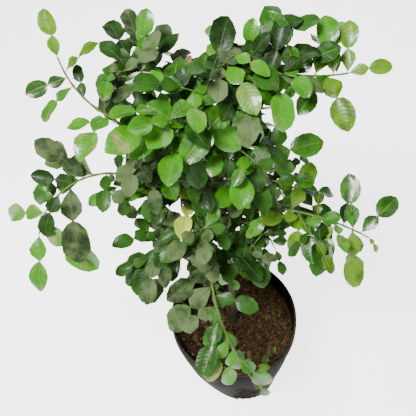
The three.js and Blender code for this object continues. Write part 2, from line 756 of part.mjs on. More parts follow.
function buildTree() {

	const tree = new THREE.Group();
	addPart( tree, 'grow_bag', growBag(), BLACK_FILM, 0.6 );
	addPart( tree, 'soil', soil(), EARTH, 0.95 );
	const wood = new THREE.Group();
	const limbs = growLimbs();
	for ( const { name, solid } of Object.values( limbs ) ) {

		const color = name === 'trunk' || name === 'leader' ? BARK : GREEN_WOOD;
		addPart( wood, name, toGeometry( solid ), color, 0.8 );

	}

	const crown = new THREE.Group();
	for ( const { name, solid } of growFoliage( limbs ) ) {

		addPart( crown, name, toGeometry( solid ), FOLIAGE[ name.replace( 'foliage_', '' ) ], 0.45 );

	}

	tree.add( wood, crown );
	return tree;

}

export default buildTree();
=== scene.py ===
"""The looks of a young kaffir lime tree in a black grow bag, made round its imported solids.

The crown grows again by the rule of the solids, with the same seeds, and is then carried on to
finer sprigs inside the same spaces. Lengths are millimetres until a mesh is made, +Z is up.
"""

import json
from collections import namedtuple
from functools import cached_property
from math import atan2, cos, degrees, pi, radians, sin

import bpy
import numpy as np
from bpy.props import FloatProperty, FloatVectorProperty, IntProperty, PointerProperty
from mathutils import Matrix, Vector

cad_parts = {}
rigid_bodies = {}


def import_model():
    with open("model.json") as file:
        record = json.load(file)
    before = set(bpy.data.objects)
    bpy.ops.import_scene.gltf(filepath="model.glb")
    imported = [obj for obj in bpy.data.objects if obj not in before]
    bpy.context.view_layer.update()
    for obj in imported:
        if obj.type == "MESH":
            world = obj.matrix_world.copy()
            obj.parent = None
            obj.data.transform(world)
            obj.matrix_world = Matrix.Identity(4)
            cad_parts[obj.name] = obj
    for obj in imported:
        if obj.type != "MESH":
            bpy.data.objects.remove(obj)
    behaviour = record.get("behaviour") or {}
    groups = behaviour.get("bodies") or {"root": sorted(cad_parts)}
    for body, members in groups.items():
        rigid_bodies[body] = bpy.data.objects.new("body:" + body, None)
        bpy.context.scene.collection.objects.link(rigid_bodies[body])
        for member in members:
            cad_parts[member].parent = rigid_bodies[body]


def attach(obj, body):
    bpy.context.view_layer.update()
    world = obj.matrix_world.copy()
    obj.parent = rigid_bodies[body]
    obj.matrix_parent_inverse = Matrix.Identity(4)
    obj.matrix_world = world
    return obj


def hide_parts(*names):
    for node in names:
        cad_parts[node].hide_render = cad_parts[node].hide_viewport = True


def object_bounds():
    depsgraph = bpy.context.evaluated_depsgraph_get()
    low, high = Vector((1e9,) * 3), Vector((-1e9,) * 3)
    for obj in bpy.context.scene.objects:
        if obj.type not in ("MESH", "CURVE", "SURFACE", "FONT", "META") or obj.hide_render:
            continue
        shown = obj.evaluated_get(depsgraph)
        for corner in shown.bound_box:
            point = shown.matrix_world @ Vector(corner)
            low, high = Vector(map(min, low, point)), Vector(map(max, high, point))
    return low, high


bl_info = {
    "name": "Potted kaffir lime tree",
    "version": (1, 0, 0),
    "blender": (4, 5, 0),
    "location": "3D View > Sidebar > Kaffir lime",
    "description": "Bark, leaves, grow bag and soil for the solids of a potted kaffir lime tree",
    "category": "Object",
}

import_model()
CAD_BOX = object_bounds()
MM = 0.001

# The bag and the soil, as in the solids
RIM_RADIUS, RIM_HEIGHT, BASE_RADIUS = 115.0, 184.0, 98.0
BASE_SHIFT = np.array([11.0, -15.0])
BASE_CORNERS, CORNER_SWELL, CORNER_AZIMUTH = 3, 7.0, -65.0
BELLY, FILM, HEEL = 5.0, 2.0, 7.0
CUFF_HEIGHT, CUFF_STAND = 25.0, 3.0
SOIL_HEIGHT, SOIL_FALL, SOIL_FALL_AZIMUTH, SOIL_FLAT = 152.0, 11.0, 60.0, 24.0
GAP = 0.3
SOIL_INSET = FILM + 1.5 * GAP

Limb = namedtuple("Limb", "parent at azimuth rise length turn bend foot tip")
Mass = namedtuple("Mass", "stem twigs twig_length leaf_length out front lift claim tones given")

# The limbs: parent, where on it, azimuth, rise, length, turn, bend, radius at foot and at tip
LIMBS = {
    "trunk": (None, 0, 118, 84, 185, 0, -6, 6.2, 4.6),
    "leader": ("trunk", 1, 116, 72, 345, -3, -13, 4.5, 3),
    "bough_left": ("trunk", 0.8, 150, 54, 255, 10, -14, 3.2, 2),
    "bough_lower_left": ("trunk", 0.66, 172, 50, 110, 0, -10, 2.6, 1.8),
    "bough_back_left": ("trunk", 0.72, 128, 42, 150, 8, -12, 2.6, 1.8),
    "bough_back": ("leader", 0.21, 94, 52, 134, 4, -14, 2.8, 1.8),
    "bough_back_right": ("trunk", 0.84, 50, 44, 125, 0, -14, 2.6, 1.8),
    "bough_lower_right": ("trunk", 0.9, 24, 56, 110, 0, -10, 2.6, 1.8),
    "bough_front": ("leader", 0.1, -112, 50, 62, -8, -20, 2.6, 1.8),
    "bough_lower_centre": ("leader", 0.14, -104, 66, 66, 0, -10, 2.4, 1.8),
    "bough_inner_left": ("leader", 0.18, 168, 58, 102, 0, -10, 2.6, 1.8),
    "bough_right": ("leader", 0.32, -8, 26, 100, -8, -12, 2.8, 2),
    "bough_upper_left": ("leader", 0.28, 158, 48, 218, 0, -8, 2.8, 1.8),
    "bough_mid_left": ("leader", 0.36, 178, 54, 92, 0, -8, 2.4, 1.8),
    "bough_upper_right": ("leader", 0.4, 76, 72, 196, -10, -12, 2.8, 1.8),
    "bough_centre": ("leader", 0.46, -128, 70, 88, 0, -8, 2.6, 1.8),
    "bough_top_left": ("leader", 0.54, 134, 58, 124, 6, -8, 2.6, 1.8),
    "bough_top": ("leader", 0.62, 64, 62, 122, 0, -4, 2.6, 1.8),
    "bough_centre_right": ("bough_right", 0.92, 150, 70, 70, 10, -6, 2, 1.6),
}
LIMBS = {name: Limb(*row) for name, row in LIMBS.items()}
LIMB_STEPS = 6

# The masses: stem (azimuth, rise, length, turn, bend), twigs, twig length, leaf length, lean out,
# lean to the front, lift, claim, leaves given one by one as turn and length. Tones: y young, f fresh,
# m mature, d dusty; one letter for each given leaf, or a handful to draw from.
MASSES = {
    "left": ((190, 30, 176, 44, -95), 0, 0, 60, 6, 22, 0, 10, "mmdmdmffff",
             ((-100, 56), (66, 50), (-56, 100), (-24, 80), (66, 94), (20, 56), (-100, 32), (-58, 66),
              (96, 88), (40, 74))),
    "upper_left": ((172, 30, 106, -56, 12), 0, 0, 56, 6, 22, 4, 26, "ffmfyy",
                   ((78, 84), (-130, 54), (-40, 46), (80, 64), (-104, 60), (-16, 60))),
    "mid_left": ((150, 34, 50, 0, -20), 5, 50, 76, 8, 26, 0, 4, "dddmmmf", ()),
    "upper_right": ((-34, 4, 140, 54, -10), 0, 0, 60, 0, 28, 6, 10, "fdffffyyfy",
                    ((112, 74), (-60, 40), (135, 100), (-120, 56), (104, 84), (-141, 44), (92, 92),
                     (-84, 80), (86, 78), (-14, 56))),
    "right": ((-20, 12, 118, -8, -22), 1, 50, 56, 6, 24, 4, 8, "yyfyyfmyfy",
              ((88, 78), (-78, 60), (-72, 74), (108, 40), (-66, 60), (-62, 50), (104, 70), (-62, 84),
               (64, 72), (-20, 24))),
    "front": ((-98, 10, 196, 62, -66), 0, 0, 60, 6, 16, 0, 8, "dddmdffffffyy",
              ((-78, 84), (20, 50), (-86, 98), (62, 66), (-80, 66), (-40, 56), (8, 50), (-60, 44),
               (-72, 40), (12, 46), (30, 46), (60, 22), (0, 26))),
    "lower_left": ((160, 46, 50, 12, -40), 3, 46, 58, 6, 20, 0, 0, "mdmddm",
                   ((60, 84), (-40, 66), (30, 66), (98, 50), (-70, 56), (70, 66))),
    "lower_right": ((-150, 40, 56, 10, -30), 4, 46, 66, 6, 22, 0, 2, "mmmmffd", ()),
    "lower_centre": ((150, 50, 46, 10, -40), 5, 50, 78, 6, 24, 0, 2, "dddmmmf", ()),
    "inner_left": ((140, 40, 44, 10, -30), 4, 44, 70, 8, 22, 0, 0, "mmmmdff", ()),
    "centre": ((110, 50, 84, 0, -20), 6, 64, 92, 4, 24, 2, 4, "ffffmmm", ()),
    "centre_right": ((140, 44, 66, 10, -20), 5, 56, 84, 6, 24, 2, 4, "fffmmmy", ()),
    "top_left": ((182, 22, 60, -30, -10), 5, 52, 76, 4, 22, 2, 8, "dddddmmf", ()),
    "top": ((-70, 16, 54, 0, -20), 6, 54, 78, 0, 22, 2, 7, "mmmmffd", ()),
    "back": ((80, 40, 84, 0, -20), 4, 70, 84, 24, 0, 2, 0, "mmmmffd", ()),
    "back_left": ((98, 30, 60, 0, -20), 4, 60, 80, 24, 0, 2, 0, "mmmmffd", ()),
    "back_right": ((80, 24, 56, 0, -20), 4, 52, 78, 24, 0, 2, 0, "mmmmffd", ()),
}
MASSES = {name: Mass(*row) for name, row in MASSES.items()}
CROWN_AXIS = np.array([-40.0, 70.0])
FIRST_TWIG, TWIG_SPAN, FIRST_GIVEN_LEAF, FIRST_LEAF = 0.12, 0.8, 0.05, 0.2
STEM_ROOT, STEM_STEPS, TWIG_STEPS, LEAF_STEPS = 4.0, 7, 4, 10
LEAF_TO_LIMB, LEAF_TO_LEAF, SHOOT_TO_SHOOT, SPACE_MARGIN = 3.5, 3.0, 5.0, 2.0
LEAF_SPACING = 15
# Turn of a shoot's first leaves and how much less its last ones turn; length of the leaves at its end
LEAF_TURN, LEAF_TURN_LESS, END_FROM, END_LENGTH = 78, 30, 0.8, 0.78
SEED, SEED_STEP = 1000, 37
FOLD = 0.25
TRIES = np.array([
    (0, 1, 0), (0, 1, -18), (0, 1, 18), (28, 1, 0), (-28, 1, 0), (0, 0.8, 0), (0, 0.8, -24),
    (55, 0.9, 0), (-55, 0.9, 0), (80, 0.8, 0), (-80, 0.8, 0),
], float)
OUTLINE = np.array([(0, 0), (0.3, 0.15), (0.41, 0.026), (0.56, 0.195), (0.82, 0.175), (1, 0)])
PROBE_ALONG = np.array([0.18, 0.3, 0.36, 0.41, 0.5, 0.56, 0.7, 0.82, 0.92, 1])
PROBE_ACROSS = np.array([-1, -0.5, 0, 0.5, 1])

# Ranges that the rule draws from: degrees, or a share of the usual length
TWIG_ASIDE, TWIG_RISE, TWIG_LENGTH = (40, 70), (-8, 52), (0.85, 1.15)
TWIG_TURN, TWIG_BEND = (-25, 15), (-35, -10)
LEAF_ASIDE, END_ASIDE, LEAF_LENGTH = (-16, 16), (-18, 18), (0.78, 1.12)
LEAF_SHAPE = ((-10, 28), (-24, 24), (12, 40))  # lift, roll, arch

# The finer growth that only the looks have: its reach from the shoots and its clearances in mm
FINE_SEED, FINE_REACH = 5000, 62
FINE_NEAR, FINE_TO_LEAF, FINE_TO_LIMB, FINE_TO_BOX, FINE_LOWEST = 95, 2.6, 2.0, 1, 215
SPRIG_ASIDE, SPRIG_RISE, SPRIG_LENGTH = (-30, 30), (-10, 60), (14, 34)
SPRIG_TURN, SPRIG_BEND = (-20, 20), (-30, 0)
SPRIG_LEAVES, SPRIG_LEAF_PLACES, SPRIG_STEPS, GOLDEN_ANGLE = (62, -62, 0), (0.45, 0.725, 1), 3, 137.5
FINE_TURN, FINE_SIZE, FINE_SHAPE = (-16, 16), (0.62, 1.0), ((-6, 26), (-24, 24), (10, 40))
# The share of a bough that bears sprigs and its leaf length; for leader and trunk both in mm
BOUGH_SHARE, BOUGH_LEAF, LEADER_HOST, TRUNK_HOST = 0.66, 66, (330, 74), (90, 52)
FINE_TRIES = np.array([
    (0, 1, 0), (0, 1, -24), (34, 1, 12), (-34, 1, 0), (0, 0.78, 25), (60, 0.85, -10), (-60, 0.85, 10),
], float)
# Masses given leaf by leaf, which get finer sprigs on their bough alone
SPARSE = ("left", "upper_left", "upper_right", "right", "front", "lower_left")
# Mass, shoot, share of it, azimuth, rise, length, roll, arch and tone of single leaves; g is yellow
SINGLE_LEAVES = (
    ("right", 0, 0.45, -95, -28, 82, 0, 20, "m"), ("right", 0, 0.8, -75, -52, 84, 118, 20, "y"),
    ("front", 0, 0.33, -92, -24, 70, 0, 24, "f"),
    ("front", 0, 0.08, -6, 6, 86, 0, 18, "m"), ("front", 0, 0, 22, 14, 84, 0, 14, "m"),
    ("lower_left", 0, 0.6, -155, -24, 100, 10, 16, "m"), ("lower_centre", 0, 0.9, 200, -12, 78, -10, 16, "d"),
    ("inner_left", 0, 0.1, 200, -4, 70, -8, 16, "m"), ("lower_centre", 0, 0, -40, -8, 82, 8, 18, "m"),
    ("lower_right", 0, 1, -72, -28, 84, 0, 16, "m"), ("lower_left", 0, 0.2, -175, -6, 70, -12, 14, "d"),
)
# Leaves that face the viewer and end at a place in the photo: mass, shoot, share of it, the tip's
# pixel from the left and from the top, how much nearer to the viewer it is than the foot, arch, tone
FACING_LEAVES = (
    ("lower_centre", 4, 1, 181, 236, 45, 16, "g"), ("upper_right", 0, 0.86, 324, 13, 0, 16, "f"),
    ("upper_right", 0, 1, 347, 21, 0, 14, "y"), ("upper_right", 0, 0.82, 296, 114, 16, 20, "f"),
    ("upper_right", 0, 0.52, 272, 8, 36, 16, "f"), ("left", 0, 0.34, 37, 138, 10, 14, "d"),
    ("left", 0, 0.42, 30, 178, 10, 14, "m"), ("right", 0, 0.36, 323, 270, 38, 16, "m"),
    ("right", 0, 0.8, 347, 173, 5, 14, "f"), ("upper_left", 0, 0.74, 25, 94, 0, 10, "f"),
    ("top", 5, 0.9, 182, 165, 12, 18, "f"), ("centre_right", 0, 0, 236, 112, 70, 16, "f"),
    ("centre", 2, 0.7, 131, 160, 20, 16, "f"), ("centre", 3, 1, 232, 19, 5, 14, "m"),
    ("upper_right", 0, 0.05, 254, 18, 20, 14, "f"),
)
# Stems with leaves larger than in the solids: the first such leaf and how much larger
LARGER = {"front": (5, 1.5), "left": (0, 1.2), "lower_left": (0, 1.3)}
# Places kept open: left, top, right and bottom in the photo's pixels, where it shows open air between
# the leaves, and last the yellow leaf
PHOTO_SIZE = 416
OPEN_PLACES = (
    (92, 10, 128, 62), (176, 28, 198, 56), (264, 92, 298, 122), (290, 132, 322, 162),
    (264, 238, 302, 266), (96, 140, 124, 170), (170, 204, 190, 238),
)


# Numbers, vectors and paths

class Draws:
    """Even random numbers from a 32-bit congruential rule, the same in every program."""

    def __init__(self, seed):
        self.state = seed & 0xFFFFFFFF

    def __call__(self, low, high):
        self.state = (self.state * 1664525 + 1013904223) & 0xFFFFFFFF
        return low + (high - low) * self.state / 4294967296.0

    def pick(self, choices):
        return choices[int(self(0, len(choices)))]


def heading(azimuth, rise):
    """Unit vectors from azimuth and rise in degrees."""
    a, r = np.radians(azimuth), np.radians(rise)
    parts = np.broadcast_arrays(np.cos(r) * np.cos(a), np.cos(r) * np.sin(a), np.sin(r))
    return np.stack(parts, -1)


def around(count):
    """Angles of even steps round a circle."""
    return np.linspace(0, 2 * pi, count, endpoint=False)


def azimuth_of(v):
    return degrees(atan2(v[1], v[0]))


def rise_of(v):
    return degrees(np.arcsin(v[2]))


def path_of(start, azimuth, rise, length, turn, bend, steps):
    """Points of a path whose heading and rise change evenly from its start to its end."""
    t = (np.arange(steps) + 0.5) / steps
    moves = heading(azimuth + turn * t, rise + bend * t) * (length / steps)
    return np.vstack([start, start + np.cumsum(moves, 0)])


def along(points, share):
    """The point at a share of a path's steps, and the direction there."""
    x = share * (len(points) - 1)
    i = min(max(int(x), 0), len(points) - 2)
    direction = points[i + 1] - points[i]
    return points[i] * (1 - x + i) + points[i + 1] * (x - i), direction / np.linalg.norm(direction)


def with_midpoints(points):
    out = np.empty((2 * len(points) - 1, 3))
    out[::2] = points
    out[1::2] = (points[1:] + points[:-1]) / 2
    return out


def nearest(points, others, claims=0.0):
    """Each point's distance to the nearest of the others, less each other's claim."""
    squares = (points**2).sum(1)[:, None] + (others**2).sum(1) - 2 * points @ others.T
    return (np.sqrt(np.maximum(squares, 0)) - claims).min(1)


def unit(v):
    return v / np.linalg.norm(v, axis=-1, keepdims=True)


def smooth_step(t):
    return t * t * (3 - 2 * t)


def hill(distance, width):
    """1 at no distance, falling off smoothly over the width."""
    return np.exp(-((distance / width) ** 2))


def spline(points, count):
    """A smooth curve through the points: cubic pieces whose slope at a point is that between its
    neighbours. Returns count places on it and the directions there."""
    p = np.vstack([2 * points[0] - points[1], points, 2 * points[-1] - points[-2]])
    t = np.linspace(0, len(points) - 1, count)
    i = np.minimum(t.astype(int), len(points) - 2)
    u = (t - i)[:, None]
    a, b, c, d = p[i], p[i + 1], p[i + 2], p[i + 3]
    place = b + 0.5 * u * (c - a + u * (2 * a - 5 * b + 4 * c - d + u * (3 * (b - c) + d - a)))
    return place, unit(0.5 * (c - a + 2 * u * (2 * a - 5 * b + 4 * c - d) + 3 * u**2 * (3 * (b - c) + d - a)))


# The growing rule

class Leaves:
    """The leaves so far: for each a row of base x y z, azimuth, rise, length, roll and arch, its probes,
    the mass it belongs to and its tone."""

    def __init__(self):
        self.rows, self.probes, self.owners, self.tones = [], [], [], []

    def add(self, row, probes, owner, tone):
        self.rows.append(row)
        self.probes.append(probes)
        self.owners.append(owner)
        self.tones.append(tone)


def grow_limbs():
    """The path of each limb, from the soil or from its place on its parent."""
    limbs = {}
    for name, limb in LIMBS.items():
        start = np.array([0, 0, SOIL_HEIGHT + GAP])
        if limb.parent:
            start, direction = along(limbs[limb.parent], limb.at)
            if limb.at == 1:
                start = start + direction * GAP
        limbs[name] = path_of(start, limb.azimuth, limb.rise, limb.length, limb.turn, limb.bend, LIMB_STEPS)
    return limbs


def limb_cloud(limbs):
    """Points along all the limbs with the radius there."""
    points = [with_midpoints(with_midpoints(limbs[name])) for name in LIMBS]
    radii = [np.linspace(LIMBS[name].foot, LIMBS[name].tip, len(p)) for name, p in zip(LIMBS, points)]
    return np.vstack(points), np.concatenate(radii)


def grow_shoots(limbs, cloud):
    """The stem of each mass, then its twigs to the right and left by turns, where they have room.
    Returns the random draws, the stem's foot, the shoots and the heart of each mass."""
    masses = {}
    for i, (name, mass) in enumerate(MASSES.items()):
        tip, direction = along(limbs["bough_" + name], 1)
        foot = tip + direction * GAP
        stem = path_of(foot + direction * STEM_ROOT, *mass.stem, STEM_STEPS)
        masses[name] = {"draws": Draws(SEED + SEED_STEP * i), "foot": foot, "shoots": [(stem, mass.stem[2])]}
    for name, mass in MASSES.items():
        draws, shoots = masses[name]["draws"], masses[name]["shoots"]
        others = np.vstack([
            with_midpoints(p) for k, other in masses.items() if k != name for p, _ in other["shoots"]
        ])
        for j in range(mass.twigs):
            share = FIRST_TWIG + TWIG_SPAN * j / max(mass.twigs - 1, 1)
            side = 1 if j % 2 else -1
            point, direction = along(shoots[0][0], share)
            azimuth = azimuth_of(direction) + side * draws(*TWIG_ASIDE)
            rise = rise_of(direction) * 0.5 + draws(*TWIG_RISE)
            length = mass.twig_length * (1.1 - 0.3 * share) * draws(*TWIG_LENGTH)
            turn, bend = side * draws(*TWIG_TURN), draws(*TWIG_BEND)
            twig = path_of(point, azimuth, rise, length, turn, bend, TWIG_STEPS)
            dense = with_midpoints(twig)
            clear = nearest(dense, *cloud).min() > LEAF_TO_LIMB
            if clear and nearest(dense, others).min() > SHOOT_TO_SHOOT:
                shoots.append((twig, length))
    for own in masses.values():
        own["heart"] = np.vstack([with_midpoints(p) for p, _ in own["shoots"]])
    return masses


def leaf_frames(leaves, share, smooth):
    """Spine points of leaves at shares of their length, with the side and the normal there."""
    base, (azimuth, rise, length, roll, arch) = leaves[:, :3], leaves.T[3:, :, None]
    t = (np.arange(LEAF_STEPS) + 0.5) / LEAF_STEPS
    moves = heading(azimuth, rise - arch * t) * (length / LEAF_STEPS)[..., None]
    spine = base[:, None] + np.concatenate([np.zeros_like(moves[:, :1]), np.cumsum(moves, 1)], 1)
    x = share * LEAF_STEPS
    i = np.minimum(x.astype(int), LEAF_STEPS - 1)
    w = (x - i)[:, None]
    point = spine[:, i] * (1 - w) + spine[:, i + 1] * w
    direction = heading(azimuth, rise - arch * (share if smooth else (i + 0.5) / LEAF_STEPS))
    level = heading(azimuth + 90, 0)
    upright = np.cross(direction, level)
    r = np.radians(roll)[..., None]
    return point, level * np.cos(r) - upright * np.sin(r), upright * np.cos(r) + level * np.sin(r)


def leaf_probes(leaves):
    """The points by which a leaf is tested: five across at ten places along it."""
    point, side, normal = leaf_frames(leaves, PROBE_ALONG, False)
    half = np.interp(PROBE_ALONG, *OUTLINE.T)
    across = (half[:, None] * PROBE_ACROSS * leaves[:, 5][:, None, None])[..., None]
    probes = point[:, :, None] + side[:, :, None] * across + normal[:, :, None] * np.abs(across) * FOLD
    return probes.reshape(len(leaves), -1, 3)


def leaf_rows(mass, base, direction, turn, length, draws, shape, tries):
    """A leaf turned from its shoot and leaning to the light outside and in front, with lift, roll and
    arch drawn from their ranges: one row for each try, which changes its turn, size and rise."""
    lift, roll, arch = (draws(*limits) for limits in shape)
    turns = turn + tries[:, 0]
    azimuth = azimuth_of(direction) + turns
    out = atan2(base[1] - CROWN_AXIS[1], base[0] - CROWN_AXIS[0])
    light = np.array([mass.out * cos(out), mass.out * sin(out) - mass.front])
    lean = np.hypot(*light)
    aside = atan2(light[1], light[0]) - np.radians(azimuth)
    rise = rise_of(direction) * np.cos(np.radians(turns)) * 0.5 + mass.lift + lift + tries[:, 2]
    rise = rise - lean * np.cos(aside)
    same = np.tile([*base, arch], (len(tries), 1))
    return np.column_stack([
        same[:, :3], azimuth, rise, length * tries[:, 1], lean * np.sin(aside) + roll, same[:, 3]
    ])


def leaf_list(length, size, draws):
    """Turns and lengths of the leaves of a shoot that isn't given leaf by leaf."""
    count = max(3, int(length / LEAF_SPACING + 0.5))
    leaves = []
    for i in range(count):
        t = (i + 0.5) / count
        side = 1 if i % 2 else -1
        turn = draws(*END_ASIDE) if i == count - 1 else side * (
            LEAF_TURN - LEAF_TURN_LESS * t + draws(*LEAF_ASIDE)
        )
        leaves.append((turn, size * draws(*LEAF_LENGTH) * (END_LENGTH if t > END_FROM else 1)))
    return leaves


def first_fit(rows, tests):
    """The first row whose probes all pass the tests, and its probes, or None."""
    probes = leaf_probes(rows)
    count = probes.shape[1]
    good = np.ones(len(rows), bool)
    for test in tests:
        good &= test(probes.reshape(-1, 3)).reshape(-1, count).all(1)
    if not good.any():
        return None
    i = int(np.argmax(good))
    return rows[i], probes[i]


def grow_leaves(masses, cloud):
    """The leaves of the solids. A leaf that would leave its mass's space, or come near a limb or
    another leaf, is turned, made smaller or left out."""
    leaves = Leaves()
    for name, mass in MASSES.items():
        own, draws, taken = masses[name], masses[name]["draws"], [np.full((1, 3), 1e6)]
        others = [(o["heart"], float(MASSES[k].claim)) for k, o in masses.items() if k != name]
        hearts = np.vstack([heart for heart, _ in others])
        claims = np.concatenate([np.full(len(heart), claim) for heart, claim in others])
        tests = (
            lambda p: nearest(p, np.vstack(taken)) > LEAF_TO_LEAF,
            lambda p: nearest(p, *cloud) > LEAF_TO_LIMB,
            lambda p: nearest(p, own["heart"]) - mass.claim + SPACE_MARGIN < nearest(p, hearts, claims),
        )
        tone_draws = Draws(FINE_SEED + len(leaves.rows))
        for order, (shoot, length) in enumerate(own["shoots"]):
            given = order == 0 and len(mass.given) > 0
            listed = mass.given if given else leaf_list(length, mass.leaf_length, draws)
            first = FIRST_GIVEN_LEAF if given else FIRST_LEAF
            for i, (turn, size) in enumerate(listed):
                base, direction = along(shoot, first + (1 - first) * i / (len(listed) - 1))
                tries = leaf_rows(mass, base, direction, turn, size, draws, LEAF_SHAPE, TRIES)
                found = first_fit(tries, tests)
                if found is not None:
                    leaves.add(*found, name, mass.tones[i] if given else tone_draws.pick(mass.tones))
                    taken.append(found[1])
    return leaves


def photo_view():
    """The camera's place in millimetres, its right, up and ahead, and its focal length in pixels."""
    stage = bpy.context.scene.lime_stage
    up, ahead = (0, sin(stage.pitch), cos(stage.pitch)), (0, cos(stage.pitch), -sin(stage.pitch))
    focal = stage.focal_length / LENS_SENSOR * PHOTO_SIZE
    return np.array(CAMERA_PLACE) / MM, np.array([(1, 0, 0), up, ahead]), focal


def shows_in_gaps(points):
    """Whether points in millimetres would show in one of the places kept open."""
    place, axes, focal = photo_view()
    across, up, depth = axes @ (points - place).T
    x, y = PHOTO_SIZE / 2 + focal * across / depth, PHOTO_SIZE / 2 - focal * up / depth
    left, top, right, bottom = np.array(OPEN_PLACES).T[..., None]
    return ((x > left) & (x < right) & (y > top) & (y < bottom)).any(0)


def facing_leaf(base, x, y, nearer, arch):
    """The row of a leaf that faces the camera and has its tip at a pixel of the photo."""
    place, axes, focal = photo_view()
    depth = axes[2] @ (base - place) - nearer
    sight = np.array([(x - PHOTO_SIZE / 2) / focal, (PHOTO_SIZE / 2 - y) / focal, 1])
    tip = place + depth * sight @ axes
    length = np.linalg.norm(tip - base)
    direction = (tip - base) / length
    azimuth, rise = azimuth_of(direction), rise_of(direction) + arch / 2
    level, back = heading(azimuth + 90, 0), place - (base + tip) / 2
    roll = degrees(atan2(level @ back, np.cross(direction, level) @ back))
    return (azimuth, rise, length, roll, arch)


def add_single_leaves(masses, leaves):
    """The leaves given one by one, and the stems whose leaves are larger than in the solids."""
    for name, (first, larger) in LARGER.items():
        for i in [i for i, owner in enumerate(leaves.owners) if owner == name][first:]:
            leaves.rows[i][5] *= larger
            leaves.probes[i] = leaf_probes(leaves.rows[i][None])[0]
    for name, shoot, share, *shape, tone in (*SINGLE_LEAVES, *FACING_LEAVES):
        base = along(masses[name]["shoots"][shoot][0], share)[0]
        row = np.array([*base, *(shape if len(shape) == 5 else facing_leaf(base, *shape))])
        leaves.add(row, leaf_probes(row[None])[0], name, tone)


def grow_sprigs(limbs, masses, cloud, leaves):
    """Finer sprigs along the shoots and boughs, each with a few smaller leaves that keep clear of all
    the others, of the limbs and of the solids' box. Adds to the leaves; returns the sprigs."""
    centres = [p.mean(0) for p in leaves.probes]
    low, high = (np.array(corner) / MM for corner in CAD_BOX)
    spacing = bpy.context.scene.lime_leaves.sprig_spacing
    sprigs = []

    def clear_of_leaves(p):
        near = np.linalg.norm(np.array(centres) - p.mean(0), axis=1) < FINE_NEAR
        if not near.any():
            return np.ones(len(p), bool)
        return nearest(p, np.vstack([leaves.probes[k] for k in np.flatnonzero(near)])) > FINE_TO_LEAF

    tests = (
        clear_of_leaves,
        lambda p: nearest(p, *cloud) > FINE_TO_LIMB,
        lambda p: ((p > low + FINE_TO_BOX) & (p < high - FINE_TO_BOX)).all(1) & (p[:, 2] > FINE_LOWEST),
        lambda p: ~shows_in_gaps(p),
    )
    for i, (name, mass) in enumerate(MASSES.items()):
        draws, bough = Draws(FINE_SEED + SEED_STEP * i), limbs["bough_" + name]
        hosts = [(*shoot, mass.leaf_length) for shoot in masses[name]["shoots"] if name not in SPARSE]
        hosts.append((bough[len(bough) // 3:], LIMBS["bough_" + name].length * BOUGH_SHARE, BOUGH_LEAF))
        reach = [masses[name]["heart"], with_midpoints(bough)]
        if i == 0:
            hosts += [(limbs["leader"], *LEADER_HOST), (limbs["trunk"][3:], *TRUNK_HOST)]
            reach += [with_midpoints(limbs["leader"]), with_midpoints(limbs["trunk"])]
        reach = np.vstack(reach)
        own_tests = (lambda p: nearest(p, reach) < FINE_REACH, *tests)
        for host, length, size in hosts:
            count = max(2, int(length / spacing))
            for j in range(count):
                point, direction = along(host, (j + 0.6) / count)
                azimuth = azimuth_of(direction) + GOLDEN_ANGLE * j + draws(*SPRIG_ASIDE)
                ranges = (SPRIG_RISE, SPRIG_LENGTH, SPRIG_TURN, SPRIG_BEND)
                sprig = path_of(point, azimuth, *(draws(*limits) for limits in ranges), SPRIG_STEPS)
                before = len(centres)
                for side, place in zip(SPRIG_LEAVES, SPRIG_LEAF_PLACES):
                    base, direction = along(sprig, place)
                    turn, leaf = side + draws(*FINE_TURN), size * draws(*FINE_SIZE)
                    tries = leaf_rows(mass, base, direction, turn, leaf, draws, FINE_SHAPE, FINE_TRIES)
                    found = first_fit(tries, own_tests)
                    if found is not None:
                        leaves.add(*found, name, draws.pick(mass.tones))
                        centres.append(found[1].mean(0))
                if len(centres) > before:
                    sprigs.append(sprig)
    return sprigs


def grow_crown():
    """Everything that grows: limbs, masses, sprigs, and the leaves' rows, tones and owners."""
    limbs = grow_limbs()
    cloud = limb_cloud(limbs)
    masses = grow_shoots(limbs, cloud)
    leaves = grow_leaves(masses, cloud)
    add_single_leaves(masses, leaves)
    sprigs = grow_sprigs(limbs, masses, cloud, leaves)
    return {
        "limbs": limbs, "masses": masses, "sprigs": sprigs, "rows": np.array(leaves.rows),
        "tones": np.array(leaves.tones), "owners": np.array(leaves.owners),
    }


# Meshes

def grid_faces(rows, columns):
    """Quads between rings of a surface that closes on itself, facing out where the rings run
    anticlockwise round the way from one ring to the next."""
    i, j = np.meshgrid(np.arange(rows - 1) * columns, np.arange(columns), indexing="ij")
    k = (j + 1) % columns
    return np.stack([i + j, i + k, i + columns + k, i + columns + j], -1).reshape(-1, 4)


def closed_rings(rings):
    """Points and faces of rings (rows, columns, 3) closed at both ends by a fan to a middle point."""
    rows, columns = rings.shape[:2]
    points = np.vstack([rings.reshape(-1, 3), rings[0].mean(0), rings[-1].mean(0)])
    j = np.arange(columns)
    k = (j + 1) % columns
    last = (rows - 1) * columns
    start = np.stack([np.full(columns, rows * columns), k, j], -1)
    end = np.stack([np.full(columns, rows * columns + 1), last + j, last + k], -1)
    return points, [grid_faces(rows, columns), np.vstack([start, end])]


def tube(points, slopes, radii):
    """Rings of a limb: at each point a ring square to the slope, radii (rows, columns) from it."""
    a = np.arctan2(slopes[:, 1], slopes[:, 0])
    level = np.stack([-np.sin(a), np.cos(a), np.zeros_like(a)], -1)
    upright = np.cross(slopes, level)
    angle = around(radii.shape[1])
    ring = level[:, None] * np.cos(angle)[:, None] + upright[:, None] * np.sin(angle)[:, None]
    return points[:, None] + ring * radii[..., None]


def joined(parts):
    """Points and faces of many surfaces as one."""
    points = np.vstack([p for p, _ in parts])
    offsets = np.cumsum([0] + [len(p) for p, _ in parts[:-1]])
    faces = [f + o for (_, groups), o in zip(parts, offsets) for f in groups]
    return points, faces


